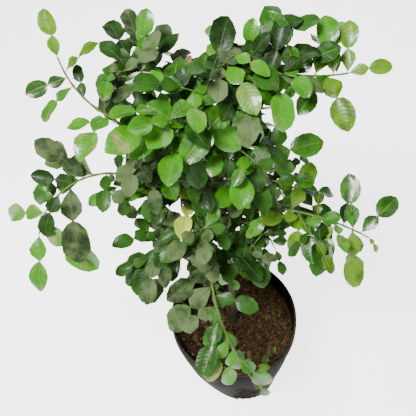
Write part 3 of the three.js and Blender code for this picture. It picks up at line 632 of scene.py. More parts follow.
def placed(name, data, place=(0, 0, 0)):
    """A new object in the scene."""
    thing = bpy.data.objects.new(name, data)
    thing.location = place
    bpy.context.scene.collection.objects.link(thing)
    return thing


def make_piece(name, points, faces, materials, slot, uv=None, values=None, indices=None, sharp=None):
    """A piece of the object from points in millimetres and groups of faces with like counts. uv and
    values (an attribute named vary) belong to the points, indices of the materials to the faces."""
    mesh = bpy.data.meshes.new(name)
    loops = np.concatenate([f.ravel() for f in faces]).astype(np.int32)
    sizes = np.concatenate([np.full(len(f), f.shape[1]) for f in faces])
    mesh.vertices.add(len(points))
    mesh.vertices.foreach_set("co", (points * MM).astype(np.float32).ravel())
    mesh.loops.add(len(loops))
    mesh.loops.foreach_set("vertex_index", loops)
    mesh.polygons.add(len(sizes))
    mesh.polygons.foreach_set("loop_start", (np.cumsum(sizes) - sizes).astype(np.int32))
    mesh.polygons.foreach_set("use_smooth", np.ones(len(sizes), bool))
    if indices is not None:
        mesh.polygons.foreach_set("material_index", indices.astype(np.int32))
    mesh.update(calc_edges=True)
    if uv is not None:
        mesh.uv_layers.new(name="blade").data.foreach_set("uv", uv[loops].astype(np.float32).ravel())
    if values is not None:
        mesh.attributes.new("vary", "FLOAT", "POINT").data.foreach_set("value", values.astype(np.float32))
    if sharp is not None:
        mesh.set_sharp_from_angle(angle=radians(sharp))
    if mesh.validate():
        raise RuntimeError(f"{name} has faces that its mesh can't hold")
    for material in materials:
        mesh.materials.append(material)
    piece = placed(name, mesh)
    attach(piece, "root")
    return piece


def value_noise(points, size, seed):
    """Smooth noise from 0 to 1 on points (n, 2): random values on a lattice of the given size, eased
    between its corners."""
    count = 64
    lattice = np.random.default_rng(seed).random((count, count))
    cell = np.floor(points / size)
    u, v = np.moveaxis(smooth_step(points / size - cell), -1, 0)
    x, y = np.moveaxis(cell.astype(int), -1, 0) % count
    right, above = (x + 1) % count, (y + 1) % count
    low = lattice[x, y] * (1 - u) + lattice[right, y] * u
    high = lattice[x, above] * (1 - u) + lattice[right, above] * u
    return low * (1 - v) + high * v


# Shader nodes

class Value:
    """The output socket of a node. Arithmetic on it adds Math nodes."""

    def __init__(self, shader, socket):
        self.shader, self.socket = shader, socket

    def math(self, operation, *others):
        return self.shader.math(operation, self, *others)

    def __add__(self, other):
        return self.math("ADD", other)

    def __sub__(self, other):
        return self.math("SUBTRACT", other)

    def __rsub__(self, other):
        return self.shader.math("SUBTRACT", other, self)

    def __mul__(self, other):
        return self.math("MULTIPLY", other)

    def __abs__(self):
        return self.math("ABSOLUTE")


class Shader:
    """One material: its nodes round a Principled BSDF."""

    def __init__(self, name, **constants):
        self.material = bpy.data.materials.new(name)
        self.material.use_nodes = True
        self.tree = self.material.node_tree
        self.finish(**constants)

    def node(self, kind, settings, sockets, output=0):
        made = self.tree.nodes.new(kind)
        for key, value in settings.items():
            setattr(made, key, value)
        for key, value in sockets.items():
            self.plug(made.inputs[key], value)
        return Value(self, made.outputs[output])

    def plug(self, socket, value):
        """Links a value, or sets a number or a colour."""
        if isinstance(value, Value):
            self.tree.links.new(value.socket, socket)
        else:
            socket.default_value = (*value, 1.0) if socket.type == "RGBA" else value

    def finish(self, **sockets):
        for socket, value in sockets.items():
            self.plug(self.tree.nodes["Principled BSDF"].inputs[socket.replace("_", " ")], value)
        return self.material

    def math(self, operation, *values):
        return self.node("ShaderNodeMath", {"operation": operation}, dict(enumerate(values)))

    @cached_property
    def place(self):
        """The object's own coordinates, in metres."""
        return self.node("ShaderNodeTexCoord", {}, {}, 3)

    def part(self, vector, axis):
        return self.node("ShaderNodeSeparateXYZ", {}, {0: vector}, axis)

    def noise(self, scale, detail=3.0, roughness=0.55, place=None):
        sockets = {"Vector": place or self.place, "Scale": scale, "Detail": detail, "Roughness": roughness}
        return self.node("ShaderNodeTexNoise", {}, sockets)

    def ease(self, value, low, high):
        """0 below low, 1 above high and a smooth step between."""
        settings = {"interpolation_type": "SMOOTHSTEP"}
        return self.node("ShaderNodeMapRange", settings, {0: value, 1: low, 2: high})

    def mix(self, factor, a, b):
        return self.node("ShaderNodeMix", {"data_type": "RGBA"}, {0: factor, 6: a, 7: b}, 2)

    def bump(self, height, strength, distance):
        sockets = {"Height": height, "Strength": strength, "Distance": distance}
        self.finish(Normal=self.node("ShaderNodeBump", {}, sockets))


def shade(color, share):
    return tuple(share * c for c in color)


SCORCH = (0.30, 0.24, 0.10)
SOIL_SHINE = 0.08


def leaf_top(name, deep, light, rib, dust, gloss, coat, shine, dusted, scorched):
    """The upper side of a leaf: mottled green, pale midrib and side veins, quilted between them,
    with chalky dust and, on some leaves, sunburnt patches."""
    s = Shader(name, Specular_IOR_Level=shine, Coat_Weight=coat, Coat_Roughness=0.14)
    blade = s.node("ShaderNodeUVMap", {"uv_map": "blade"}, {})
    vary = s.node("ShaderNodeAttribute", {"attribute_name": "vary"}, {}, 2)
    side = abs(s.part(blade, 0) - 0.5) * 2.0
    phase = abs((s.part(blade, 1) * 15.0 - side * 1.5).math("FRACT") - 0.5)
    vein = s.ease(phase, 0.36, 0.5)
    coarse, fine = s.noise(55.0, 2.0), s.noise(420.0, 3.0)
    green = s.mix(s.ease(coarse * 0.9 + vary * 0.6, 0.35, 1.05), deep, light)
    green = s.mix(s.ease(fine, 0.45, 0.8) * 0.35, green, light)
    green = s.mix(vein * 0.09, green, rib)
    green = s.mix((1.0 - s.ease(side, 0.02, 0.09)) * 0.5, green, rib)
    chalk = s.ease(s.noise(900.0, 2.0) * 0.5 + coarse * 0.9 + vary * 0.2, 0.62, 0.98) * dusted
    green = s.mix(chalk, green, dust)
    rough = chalk * 0.35 + gloss + fine * 0.08
    if scorched:
        marked = s.ease(vary, 0.99 - scorched, 1.0 - scorched)
        patch = s.ease(s.noise(34.0, 2.5) + vein * 0.09, 0.52, 0.76) * marked
        green = s.mix(patch * 0.75, green, SCORCH)
        rough = rough + patch * 0.15
    s.bump(s.ease(phase, 0.5, 0.1) * 0.3 + fine * 0.3 + s.noise(75.0, 2.0) * 4.0, 0.4, 0.0009)
    return s.finish(Base_Color=green, Roughness=rough)


def leaf_under(name, color):
    """The underside of a leaf: paler and dull, with fine mottling."""
    s = Shader(name, Roughness=0.55)
    return s.finish(Base_Color=s.mix(s.ease(s.noise(260.0), 0.3, 0.75), shade(color, 0.8), color))


def plain_grain(name, dark, light, scale, gloss, depth=0.0, shine=0.5):
    """A mottled finish in two colours with a fine grain."""
    s = Shader(name, Specular_IOR_Level=shine)
    grain = s.noise(scale, 4.0)
    if depth:
        s.bump(grain, 0.6, depth)
    return s.finish(Base_Color=s.mix(s.ease(grain, 0.32, 0.68), dark, light), Roughness=grain * 0.15 + gloss)


def bark_material(name, dark, light, scar, gloss):
    """Bark: fine streaks along the upright, pale corky dots and a rough grain."""
    s = Shader(name, Specular_IOR_Level=0.2)
    stretched = s.node("ShaderNodeVectorMath", {"operation": "MULTIPLY"}, {0: s.place, 1: (1.0, 1.0, 0.22)})
    streak = s.noise(700.0, 4.0, place=stretched)
    dots = s.ease(s.noise(520.0, 1.0), 0.64, 0.72)
    color = s.mix(s.ease(streak * 0.6 + s.noise(60.0, 2.0) * 0.5, 0.38, 0.72), dark, light)
    s.bump(streak + dots * 0.5, 0.7, 0.0006)
    return s.finish(Base_Color=s.mix(dots * 0.6, color, scar), Roughness=streak * 0.2 + gloss)


def film_material(name, color, dust):
    """Black film: crumpled fine, dulled, with brown dust low down, on the rim and on one side."""
    s = Shader(name, Specular_IOR_Level=0.03)
    x, y, z = (s.part(s.place, axis) for axis in range(3))
    cloud, fine = s.noise(22.0, 4.0), s.noise(240.0, 4.0)
    right = s.ease(x * 0.8 - y * 0.5, 0.07, 0.13)
    low = 1.0 - s.ease(z, 0.0, 0.05)
    rim = s.ease(z, 0.176, 0.184)
    amount = (right * 0.5 + low * 0.35 + rim * 0.5 + 0.12) * s.ease(cloud * 0.7 + fine * 0.4, 0.42, 0.72)
    s.bump(fine * 0.5 + s.noise(70.0, 3.0), 0.5, 0.0012)
    return s.finish(Base_Color=s.mix(amount, color, dust), Roughness=amount * 0.2 + 0.66 + fine * 0.12)


def soil_material(name, dark, brown, light):
    """Moist coir: dark crumbs, brown chunks and a few pale fibres."""
    s = Shader(name, Specular_IOR_Level=SOIL_SHINE)
    crumbs, clods = s.noise(120.0, 5.0, 0.75), s.noise(40.0, 3.0)
    flecks = s.ease(s.noise(620.0, 2.0), 0.66, 0.74)
    side = s.ease(s.part(s.place, 0), -0.06, 0.09)
    color = s.mix(s.ease(crumbs * 0.7 + clods * 0.4 + side * 0.16, 0.46, 0.76), dark, brown)
    s.bump(crumbs, 1.0, 0.006)
    return s.finish(Base_Color=s.mix(flecks * 0.5, color, light), Roughness=crumbs * 0.2 + 0.8)


# Settings

def number(name, description, default, low, high, **unit):
    return FloatProperty(name=name, description=description, default=default, min=low, max=high, **unit)


def tint(name, description, default):
    return FloatVectorProperty(
        name=name, description=description, default=default, subtype="COLOR", size=3, min=0, max=1
    )


class LimeBark(bpy.types.PropertyGroup):
    """Trunk, boughs and twigs."""

    relief: number("Bark relief", "Height of the ridges, as a share of the radius", 0.045, 0, 0.2)
    old_dark: tint("Old bark, dark", "Furrows of trunk and leader", (0.018, 0.016, 0.008))
    old_light: tint("Old bark, light", "Ridges of trunk and leader", (0.062, 0.055, 0.026))
    green_dark: tint("Green bark, dark", "Shaded streaks of boughs", (0.018, 0.03, 0.007))
    green_light: tint("Green bark, light", "Light streaks of boughs", (0.055, 0.085, 0.02))
    twig_dark: tint("Twig, dark", "Shaded streaks of twigs", (0.04, 0.08, 0.012))
    twig_light: tint("Twig, light", "Light streaks of twigs", (0.12, 0.18, 0.03))


class LimeLeaves(bpy.types.PropertyGroup):
    """Leaves of the crown."""

    sprig_spacing: number("Sprig spacing", "Millimetres of shoot for each finer sprig", 34, 8, 60)
    thickness: number("Leaf thickness", "Millimetres at the midrib", 0.7, 0.2, 2)
    wave: number("Margin wave", "Rise and fall of the margin, as a share of the length", 0.03, 0, 0.1)
    young: tint("Young leaf", "Lime green of the newest leaves", (0.066, 0.158, 0.0009))
    fresh: tint("Fresh leaf", "Bright green of this year's leaves", (0.023, 0.118, 0.0006))
    mature: tint("Mature leaf", "Dark green of old leaves", (0.0085, 0.044, 0.001))
    dusty: tint("Dusty leaf", "Old leaf under dust", (0.024, 0.058, 0.0085))
    dust: tint("Dust", "Chalky dust", (0.145, 0.18, 0.085))
    rib: tint("Midrib", "Pale midrib", (0.13, 0.23, 0.03))
    yellow: tint("Yellow leaf", "The one leaf that has turned", (0.4, 0.5, 0.05))
    dull_rib: tint("Dull midrib", "Midrib of old leaves", (0.05, 0.07, 0.028))


class LimeBag(bpy.types.PropertyGroup):
    """The grow bag."""

    crease: number("Crease depth", "Millimetres of the deepest soft creases", 2.2, 0, 6)
    film: tint("Film", "Matt black film", (0.0055, 0.0055, 0.0055))
    dust: tint("Film dust", "Brown dust on the film", (0.075, 0.058, 0.04))


class LimeSoil(bpy.types.PropertyGroup):
    """The soil."""

    roughness: number("Soil relief", "Millimetres of the clods", 11, 0, 16)
    chips: IntProperty(
        name="Chips", description="Chunks of coir and bark on top", default=4400, min=0, max=9000
    )
    dark: tint("Soil, dark", "Moist crumbs", (0.013, 0.0075, 0.004))
    brown: tint("Soil, brown", "Coir", (0.082, 0.05, 0.023))
    light: tint("Soil, light", "Fibres and dry bits", (0.3, 0.23, 0.15))


class LimeStage(bpy.types.PropertyGroup):
    """Floor, lights and camera."""

    floor: tint("Floor", "Plain pale floor", (0.9, 0.9, 0.9))
    glow: number("Floor glow", "Light from the floor, as on a light table", 3.2, 0, 20)
    light: number("Soft light", "Strength of the large lamp", 74, 0, 1000, unit="POWER")
    focal_length: number("Focal length", "Of the camera, for a square frame", 41.54, 10, 200, unit="CAMERA")
    pitch: number("Pitch", "Of the camera below the horizon", radians(55.6), 0, pi / 2, unit="ROTATION")


# Pieces

OLD_WOOD = ("trunk", "leader")
STUB_LENGTH, STUB_SUNK, STUB_RINGS, STUB_SIDES = 15.0, 0.85, 9, 14
SCAR_SPACING, SCAR_WIDTH, SCAR_HEIGHT, COLLAR = 21, 1.8, 0.16, 0.55
ROOT_RIDGES, ROOT_FLARE, ROOT_REACH, ROOT_SUNK = 5, 5, 14, 2.5
RIDGE_WAVES, COLLAR_REACH = (3, 5, 8, 13), 5


def limb_surface(name, points, rings_apart, sides, relief):
    """A limb as rings along a smooth curve through its path. Radius: its taper, a collar at the foot
    that dies away over a few millimetres, ridges that wind slowly round it, and a bump at each old
    leaf scar. The trunk also spreads into root ridges at the soil."""
    length, foot, tip = LIMBS[name].length, LIMBS[name].foot, LIMBS[name].tip
    count = int(length / rings_apart)
    place, slope = spline(points, count)
    run = np.linspace(0, length, count)[:, None]
    angle = around(sides)
    radii = foot + (tip - foot) * run / length + np.zeros(sides)
    draws = Draws(FINE_SEED + sum(map(ord, name)))
    for waves in RIDGE_WAVES:
        wander = draws(0, 6.3) + draws(-0.03, 0.03) * run + 0.6 * np.sin(run / draws(14, 30))
        patch = 0.6 + 0.4 * np.sin(run / draws(5, 12) + draws(0, 6.3))
        radii = radii * (1 + relief * patch * np.sin(waves * angle + wander) / waves**0.4)
    for _ in range(int(length / SCAR_SPACING)):
        scar = draws(0.02, 0.98) * length
        lump = hill(run - scar, SCAR_WIDTH) * (1 + np.cos(angle - draws(0, 6.3))) / 2
        radii = radii + SCAR_HEIGHT * foot * lump
    if name == "trunk":
        ridges = 0.75 + 0.25 * np.cos(ROOT_RIDGES * angle) + 0.08 * np.cos(11 * angle + 1)
        radii = radii + ROOT_FLARE * np.exp(-run / ROOT_REACH) * ridges
        place = place - np.array([0, 0, ROOT_SUNK]) * np.exp(-run / 6)
    elif name != "leader":
        radii = radii + COLLAR * foot * np.exp(-run / COLLAR_REACH)
    return closed_rings(tube(place, slope, radii))


class LIME_OT_bark(bpy.types.Operator):
    """Trunk and leader, boughs, and the dry stub where the leader was cut"""

    bl_idname = "lime.bark"
    bl_label = "Bark"

    def execute(self, context):
        bark, limbs = context.scene.lime_bark, CROWN["limbs"]
        old = bark_material("old_bark", bark.old_dark, bark.old_light, (0.2, 0.19, 0.13), 0.62)
        green = bark_material("green_bark", bark.green_dark, bark.green_light, (0.24, 0.26, 0.14), 0.5)
        dry = plain_grain("dry_wood", (0.16, 0.07, 0.02), (0.42, 0.22, 0.08), 500.0, 0.75, 0.001)
        for name, nodes, rings_apart, sides, material, slot in (
            ("bark_of_trunk", OLD_WOOD, 2.0, 20, old, "bark"),
            ("bark_of_boughs", [n for n in LIMBS if n not in OLD_WOOD], 2.5, 12, green, "green_wood"),
        ):
            surfaces = [limb_surface(n, limbs[n], rings_apart, sides, bark.relief) for n in nodes]
            piece = make_piece(name, *joined(surfaces), [material], slot)
            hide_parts(*nodes)
        tip, direction = along(limbs["leader"], 1)
        run, angle = np.linspace(0, 1, STUB_RINGS)[:, None], around(STUB_SIDES)
        radii = LIMBS["leader"].tip * (1.18 + 0.1 * np.sin(3 * angle + 4 * run)) * (1 - 0.25 * run**3)
        points = tip + direction * ((run - STUB_SUNK) * STUB_LENGTH)
        rings = tube(points, np.repeat(direction[None], STUB_RINGS, 0), radii)
        make_piece("cut_stub", *closed_rings(rings), [dry], "bark", sharp=50)
        return {"FINISHED"}


# Radii of stems and twigs at foot and tip, then length and radii of a sprig
STEM_RADII, TWIG_RADII, SPRIG_SIZES = (2.1, 1.2), (1.3, 0.8), (24, 0.85, 0.55)
TWIG_SIDES, TWIG_RINGS_APART, SWELLING, SWELLING_APART = 7, 4, 0.16, 15


def twig_surface(points, length, foot, tip):
    """A twig as rings along a smooth curve, swollen a little where its leaves sit."""
    count = max(6, int(length / TWIG_RINGS_APART))
    place, slope = spline(points, count)
    run = np.linspace(0, 1, count)[:, None]
    swelling = 1 + SWELLING * np.cos(2 * pi * run * length / SWELLING_APART)
    return closed_rings(tube(place, slope, (foot + (tip - foot) * run) * swelling + np.zeros(TWIG_SIDES)))


class LIME_OT_twigs(bpy.types.Operator):
    """Stems, twigs and finer sprigs, each a slim tapered limb with a slight swelling at each leaf"""

    bl_idname = "lime.twigs"
    bl_label = "Twigs"

    def execute(self, context):
        bark, parts = context.scene.lime_bark, []
        for mass in CROWN["masses"].values():
            (stem, length), *twigs = mass["shoots"]
            stem = np.vstack([mass["foot"] * 2 - stem[0], mass["foot"], stem])
            parts.append(twig_surface(stem, length, *STEM_RADII))
            parts += [twig_surface(*twig, *TWIG_RADII) for twig in twigs]
        parts += [twig_surface(sprig, *SPRIG_SIZES) for sprig in CROWN["sprigs"]]
        twig = bark_material("twig_bark", bark.twig_dark, bark.twig_light, (0.3, 0.36, 0.12), 0.42)
        piece = make_piece("twigs", *joined(parts), [twig], "green_wood")
        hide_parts(*("foliage_" + n for n in MASSES))
        return {"FINISHED"}


STATIONS = np.array([0, 0.05, 0.15, 0.26, 0.36, 0.43, 0.46, 0.5, 0.59, 0.71, 0.83, 0.94, 1])
COLUMNS = np.array([-1, -0.52, 0, 0.52, 1])
NECK, STALK, THINNEST = 0.46, 0.04, 0.011
# Half width of winged stalk and blade as a share of the length, how much a seed adds, and the powers
# that shape them
WING, BLADE, WING_MORE, BLADE_MORE = 0.138, 0.168, 0.032, 0.034
WING_POWERS, BLADE_POWERS = (1.35, 0.8), (0.93, 0.55)
# Depth of the margin's notches on all but young leaves, as a share of the half width
NOTCHES, NOTCHED_FROM = {"f": 0.018, "m": 0.05, "d": 0.045}, 0.06
LOPSIDED, WAVES, ROUNDED, FOLD_LEAST, FOLD_MORE = 0.09, 1.6, 0.08, 0.5, 1.1
# How far the blade drops, rises and turns aside past the neck, and how much thinner the tip is
BLADE_DROP, BLADE_RISE, BLADE_ASIDE, TIP_THINNER = 0.26, 0.07, 0.24, 0.6
RIB_WIDTH, RIB_TAPER, RIB_TALL, RIB_SUNK, USUAL_LEAF = 0.75, 0.5, 0.55, 0.05, 80


def half_widths(share, wing, blade):
    """Half width along a double leaf as a share of its length: a thin stalk, a winged stalk that is
    widest beyond its middle, a narrow neck, and a blade that is widest just before its middle."""
    stalk = np.clip((share - STALK) / (NECK - STALK), 0, 1)
    winged = wing * np.sin(pi * stalk ** WING_POWERS[0]) ** WING_POWERS[1]
    bladed = np.clip((share - NECK) / (1 - NECK), 0, 1)
    wide = blade * np.maximum(np.sin(pi * bladed ** BLADE_POWERS[0]), 0) ** BLADE_POWERS[1]
    return np.maximum(np.where(share < NECK, winged, wide), THINNEST)


def leaf_faces():
    """Faces of one leaf: the upper side (rows by five columns), the underside between the margins and
    a keel, and the two ends."""
    rows, columns = len(STATIONS), len(COLUMNS)
    keels, last = rows * columns, (rows - 1) * columns
    i, j = np.meshgrid(np.arange(rows - 1) * columns, np.arange(columns - 1), indexing="ij")
    a = (i + j).ravel()
    top = np.stack([a, a + columns, a + columns + 1, a + 1], -1)
    left = np.arange(rows - 1) * columns
    right, keel = left + columns - 1, keels + np.arange(rows - 1)
    under = np.vstack([
        np.stack([left, keel, keel + 1, left + columns], -1),
        np.stack([keel, right, right + columns, keel + 1], -1),
    ])
    foot = [*range(columns), keels]
    tip = [*range(last + columns - 1, last - 1, -1), keels + rows - 1]
    return top, under, np.array([foot, tip])


def leaf_surfaces(leaves, seeds, thickness, wave, notch):
    """Points of leaves (n, rows * 5 + rows, 3): each row has five points across, folded up from the
    midrib, rounded between midrib and margin and waved at the margin, then a keel under the midrib.
    Eight random numbers a leaf vary its widths, lean, wave, bend and fold."""
    length = leaves[:, 5][:, None]
    point, side, normal = leaf_frames(leaves, STATIONS, True)
    wing, blade = WING + WING_MORE * seeds[:, :1], BLADE + BLADE_MORE * seeds[:, 1:2]
    half = half_widths(STATIONS[None], wing, blade)
    half = half * (1 + notch * np.cos(pi * np.arange(len(STATIONS))) * (half > NOTCHED_FROM))
    lopsided = 1 + LOPSIDED * (seeds[:, 2:3, None] - 0.5) * COLUMNS
    across = half[..., None] * COLUMNS * lopsided * length[..., None]
    phase = 2 * pi * (seeds[:, 3:4] + STATIONS * (WAVES + seeds[:, 4:5]))
    ripple = np.sin(phase)[..., None] * COLUMNS**2 * wave * length[..., None]
    ripple = ripple * np.where(COLUMNS < 0, 1, -1) * np.minimum(half / 0.1, 1)[..., None]
    rounded = (np.abs(COLUMNS) == COLUMNS[3]) * ROUNDED * half[..., None] * length[..., None]
    height = np.abs(across) * FOLD * (FOLD_LEAST + FOLD_MORE * seeds[:, 7:8, None]) + ripple + rounded
    past_neck = np.maximum(STATIONS - NECK, 0)[:, None] * length[..., None]
    height = height - past_neck * (BLADE_DROP * seeds[:, 5:6, None] - BLADE_RISE)
    across = across + past_neck * (BLADE_ASIDE * seeds[:, 2:3, None] - BLADE_ASIDE / 2)
    top = point[:, :, None] + side[:, :, None] * across[..., None] + normal[:, :, None] * height[..., None]
    keel = top[:, :, 2] - normal * (thickness * (1 - TIP_THINNER * STATIONS)[:, None])
    return np.concatenate([top.reshape(len(leaves), -1, 3), keel], 1)


def rib_surfaces(leaves, points):
    """Midribs: a slim four-sided bar on the crease of each leaf, tapering to the tip."""
    rows, columns = len(STATIONS), len(COLUMNS)
    grid = points[:, : rows * columns].reshape(len(leaves), rows, columns, 3)[:, 1:-1]
    middle, left, right = grid[:, :, 2], grid[:, :, 1], grid[:, :, 3]
    up = unit(np.cross(np.gradient(middle, axis=1), right - left))
    width = (RIB_WIDTH - RIB_TAPER * STATIONS[1:-1])[None, :, None]
    width = width * (leaves[:, 5] / USUAL_LEAF)[:, None, None] ** 0.5
    return np.stack([
        middle + unit(left - middle) * width, middle - up * RIB_SUNK,
        middle + unit(right - middle) * width, middle + up * width * RIB_TALL,
    ], 2)


def leaf_piece(name, rows, seeds, wave, notch, materials, slot):
    """Leaves as one piece, with the blade's uv and a random value each. Returns it and its points."""
    points = leaf_surfaces(rows, seeds, bpy.context.scene.lime_leaves.thickness, wave, notch)
    count, size = points.shape[:2]
    offsets = (np.arange(count) * size)[:, None, None]
    faces = [(f + offsets).reshape(-1, f.shape[1]) for f in leaf_faces()]
    kinds = np.concatenate([np.full(len(f), k) for f, k in zip(faces, (0, 1, 1))])
    across, share = np.meshgrid(COLUMNS / 2 + 0.5, STATIONS)
    uv = np.column_stack([np.append(across, np.full(len(STATIONS), 0.5)), np.append(share, STATIONS)])
    piece = make_piece(
        name, points.reshape(-1, 3), faces, materials, slot, uv=np.tile(uv, (count, 1)),
        values=np.repeat(seeds[:, 6], size), indices=kinds, sharp=75,
    )
    return piece, points


# For each tone: the colour's setting, whether the midrib is dull, how dark and how light the mottling
# is, then gloss, coat, shine, dust and the share of scorched leaves
LEAF_KINDS = {
    "y": ("young", False, 0.3, 1.5, 0.34, 0.2, 0.35, 0.0, 0.0),
    "f": ("fresh", False, 0.3, 1.8, 0.34, 0.34, 0.35, 0.0, 0.24),
    "m": ("mature", True, 0.3, 1.9, 0.42, 0.08, 0.14, 0.05, 0.0),
    "d": ("dusty", True, 0.3, 1.5, 0.56, 0.0, 0.14, 0.5, 0.0),
    "g": ("yellow", False, 0.7, 1.1, 0.4, 0.0, 0.5, 0.0, 0.0),
}


class LIME_OT_leaves(bpy.types.Operator):
    """All leaves, one piece for each tone, and their midribs"""

    bl_idname = "lime.leaves"
    bl_label = "Leaves"

    def execute(self, context):
        tints = context.scene.lime_leaves
        seeds = np.random.default_rng(FINE_SEED).random((len(CROWN["rows"]), 8))
        ribs = {"midribs_pale": [], "midribs_dull": []}
        for letter, (setting, dull, dark, light, *looks) in LEAF_KINDS.items():
            name, finish, slot = "leaves_" + setting, "leaf_" + setting, "foliage_" + setting
            if letter == "g":
                name, finish, slot = "leaf_yellow", "leaf_turned", "foliage_young"
            color, rib = getattr(tints, setting), tints.dull_rib if dull else tints.rib
            top = leaf_top(finish, shade(color, dark), shade(color, light), rib, tints.dust, *looks)
            below = tuple(c * 0.9 + 0.03 * w for c, w in zip(color, (0.9, 1.3, 0.5)))
            finishes = [top, leaf_under(finish + "_underside", below)]
            chosen = CROWN["tones"] == letter
            rows, notch = CROWN["rows"][chosen], NOTCHES.get(letter, 0)
            piece, points = leaf_piece(name, rows, seeds[chosen], tints.wave, notch, finishes, slot)
            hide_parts(*sorted({"foliage_" + n for n in CROWN["owners"][chosen]}))
            ribs["midribs_dull" if dull else "midribs_pale"].append(rib_surfaces(rows, points))
        for kind, color in zip(ribs, (tints.rib, tints.dull_rib)):
            bars = [closed_rings(bar) for bar in np.concatenate(ribs[kind])]
            finish = plain_grain(kind + "_finish", shade(color, 0.75), color, 200.0, 0.4)
            make_piece(kind, *joined(bars), [finish], "green_wood")
        return {"FINISHED"}


# The bag and the soil

def wall_radius(height):
    """Mean radius of the bag at a height: it widens smoothly from base to rim and bellies a little."""
    t = np.clip(height / RIM_HEIGHT, 0, 1)
    return BASE_RADIUS + (RIM_RADIUS - BASE_RADIUS) * smooth_step(t) + BELLY * np.sin(pi * t)


def sagged(radius, angle, height):
    """Points of the sagging bag: soft corners at the foot and a foot that stands aside of the rim."""
    t = np.clip(height / RIM_HEIGHT, 0, 1)
    corner = np.cos(BASE_CORNERS * (angle - radians(CORNER_AZIMUTH)))
    r = radius * (1 + CORNER_SWELL * corner * (1 - smooth_step(t)) / wall_radius(height))
    x, y = (r * turn(angle) + (1 - t) * shift for turn, shift in zip((np.cos, np.sin), BASE_SHIFT))
    return np.stack([x, y, height + np.zeros_like(r)], -1)


TEAR_AZIMUTH, TEAR_HEIGHT, TEAR_WIDE, TEAR_TALL, TEAR_DEEP = -80.0, 38.0, 11.0, 56.0, 7.0
TEAR_REACH, TORN_STEPS, TORN_CLODS, TORN_DEEP, TORN_WALL = 1.3, (44, 48), ((3.5, 7), (1.6, 8)), 1.6, 3.0
FOLD_AZIMUTH, FOLD_DEEP, FOLD_WIDE, CREASES, CREASE_SEED = -66, 6.0, 0.045, 26, 41
# Ranges of a crease's azimuth, lean, width, the height of its middle, its own height and its depth
CREASE_RANGES = ((-pi, pi), (-0.006, 0.006), (0.025, 0.1), (10, 150), (18, 60), (-1, 0.7))


def tear_distance(angle, height):
    """Distance from the middle of the torn place at the foot, 1 at its ragged edge."""
    across = np.degrees(angle - radians(TEAR_AZIMUTH) + pi) % 360 - 180
    wander = 0.16 * np.sin(8 * angle + height / 9) + 0.07 * np.sin(27 * angle + height / 4)
    return np.hypot(across / TEAR_WIDE, (height - TEAR_HEIGHT) / TEAR_TALL) + wander


def film_relief(angle, height, depth):
    """How far the film stands in or out: seeded creases that lean and fade, one deep fold down the
    front, and the dent and lip of the torn place."""
    rng = np.random.default_rng(CREASE_SEED)
    fade = smooth_step(np.clip(height / 14, 0, 1)) * smooth_step(np.clip((166 - height) / 50, 0, 1))
    out = np.zeros(np.broadcast(angle, height).shape)
    for _ in range(CREASES):
        centre, lean, wide, middle, tall, deep = (rng.uniform(*limits) for limits in CREASE_RANGES)
        off = (angle - centre - lean * (height - middle) + pi) % (2 * pi) - pi
        out = out + deep * hill(off, wide) * hill(height - middle, tall)
    fold = (angle - radians(FOLD_AZIMUTH) - 0.0006 * (height - 40) + pi) % (2 * pi) - pi
    low = np.exp(-np.clip(height - 25, 0, None) / 38)
    out = out * depth * fade - FOLD_DEEP * hill(fold, FOLD_WIDE) * low * fade
    tear = tear_distance(angle, height)
    dent = TEAR_DEEP * smooth_step(np.clip((1.1 - tear) / 0.2, 0, 1))
    return out - dent + 1.8 * hill(tear - 1.15, 0.12) * fade


def film_profile():
    """The film's section from the middle of its foot up the wall, over the cuff and the rolled rim and
    down inside: radius where it is fixed, else 0, then height and how far it stands off the wall."""
    cuff, heel, lip = RIM_HEIGHT - CUFF_HEIGHT, np.linspace(0, pi / 2, 7), np.linspace(-0.2 * pi, 1.1 * pi, 9)
    runs = (
        ((18, 45, 70, 84), 0, -1),
        (0, HEEL - HEEL * np.cos(heel), HEEL * np.sin(heel) - HEEL),
        (0, np.linspace(HEEL + 3, cuff - 1, 44), 0),
        (0, cuff + np.array([-0.4, 0]), CUFF_STAND * np.array([0.4, 0.9])),
        (0, cuff + np.array([1, 2.5, 3.3, 4.1]), CUFF_STAND - np.array([0, 0, 0.7, 0])),
        (0, np.linspace(cuff + 6, RIM_HEIGHT - 7, 5), CUFF_STAND),
        (0, RIM_HEIGHT - np.array([5.6, 4.4]), CUFF_STAND - np.array([0.8, 0])),
        (0, RIM_HEIGHT - 2 + 2 * np.sin(lip), CUFF_STAND / 2 - 0.6 + 2 * np.cos(lip)),
        (0, (*np.linspace(RIM_HEIGHT - 5, 120, 18), 60, HEEL + FILM), -FILM),
        ((BASE_RADIUS - HEEL - FILM, 50), FILM, -1),
    )
    return np.concatenate([np.column_stack(np.broadcast_arrays(*run)) for run in runs]).T


def bag_wall(crease):
    """Rings of the whole film, creased outside and in, with a rim that runs a little up and down."""
    fixed, height, offset = film_profile()[..., None]
    angle = around(300)
    height = height + np.zeros_like(angle)
    radius = np.where(fixed > 0, fixed, wall_radius(height) + offset)
    radius = radius + film_relief(angle, height, crease) * (fixed == 0)
    wobble = 0.6 * np.sin(3 * angle + 1) + 0.4 * np.sin(7 * angle)
    near_rim = height > RIM_HEIGHT - CUFF_HEIGHT - 2
    return sagged(radius, angle, np.where(near_rim, height + wobble - 1.0, height))


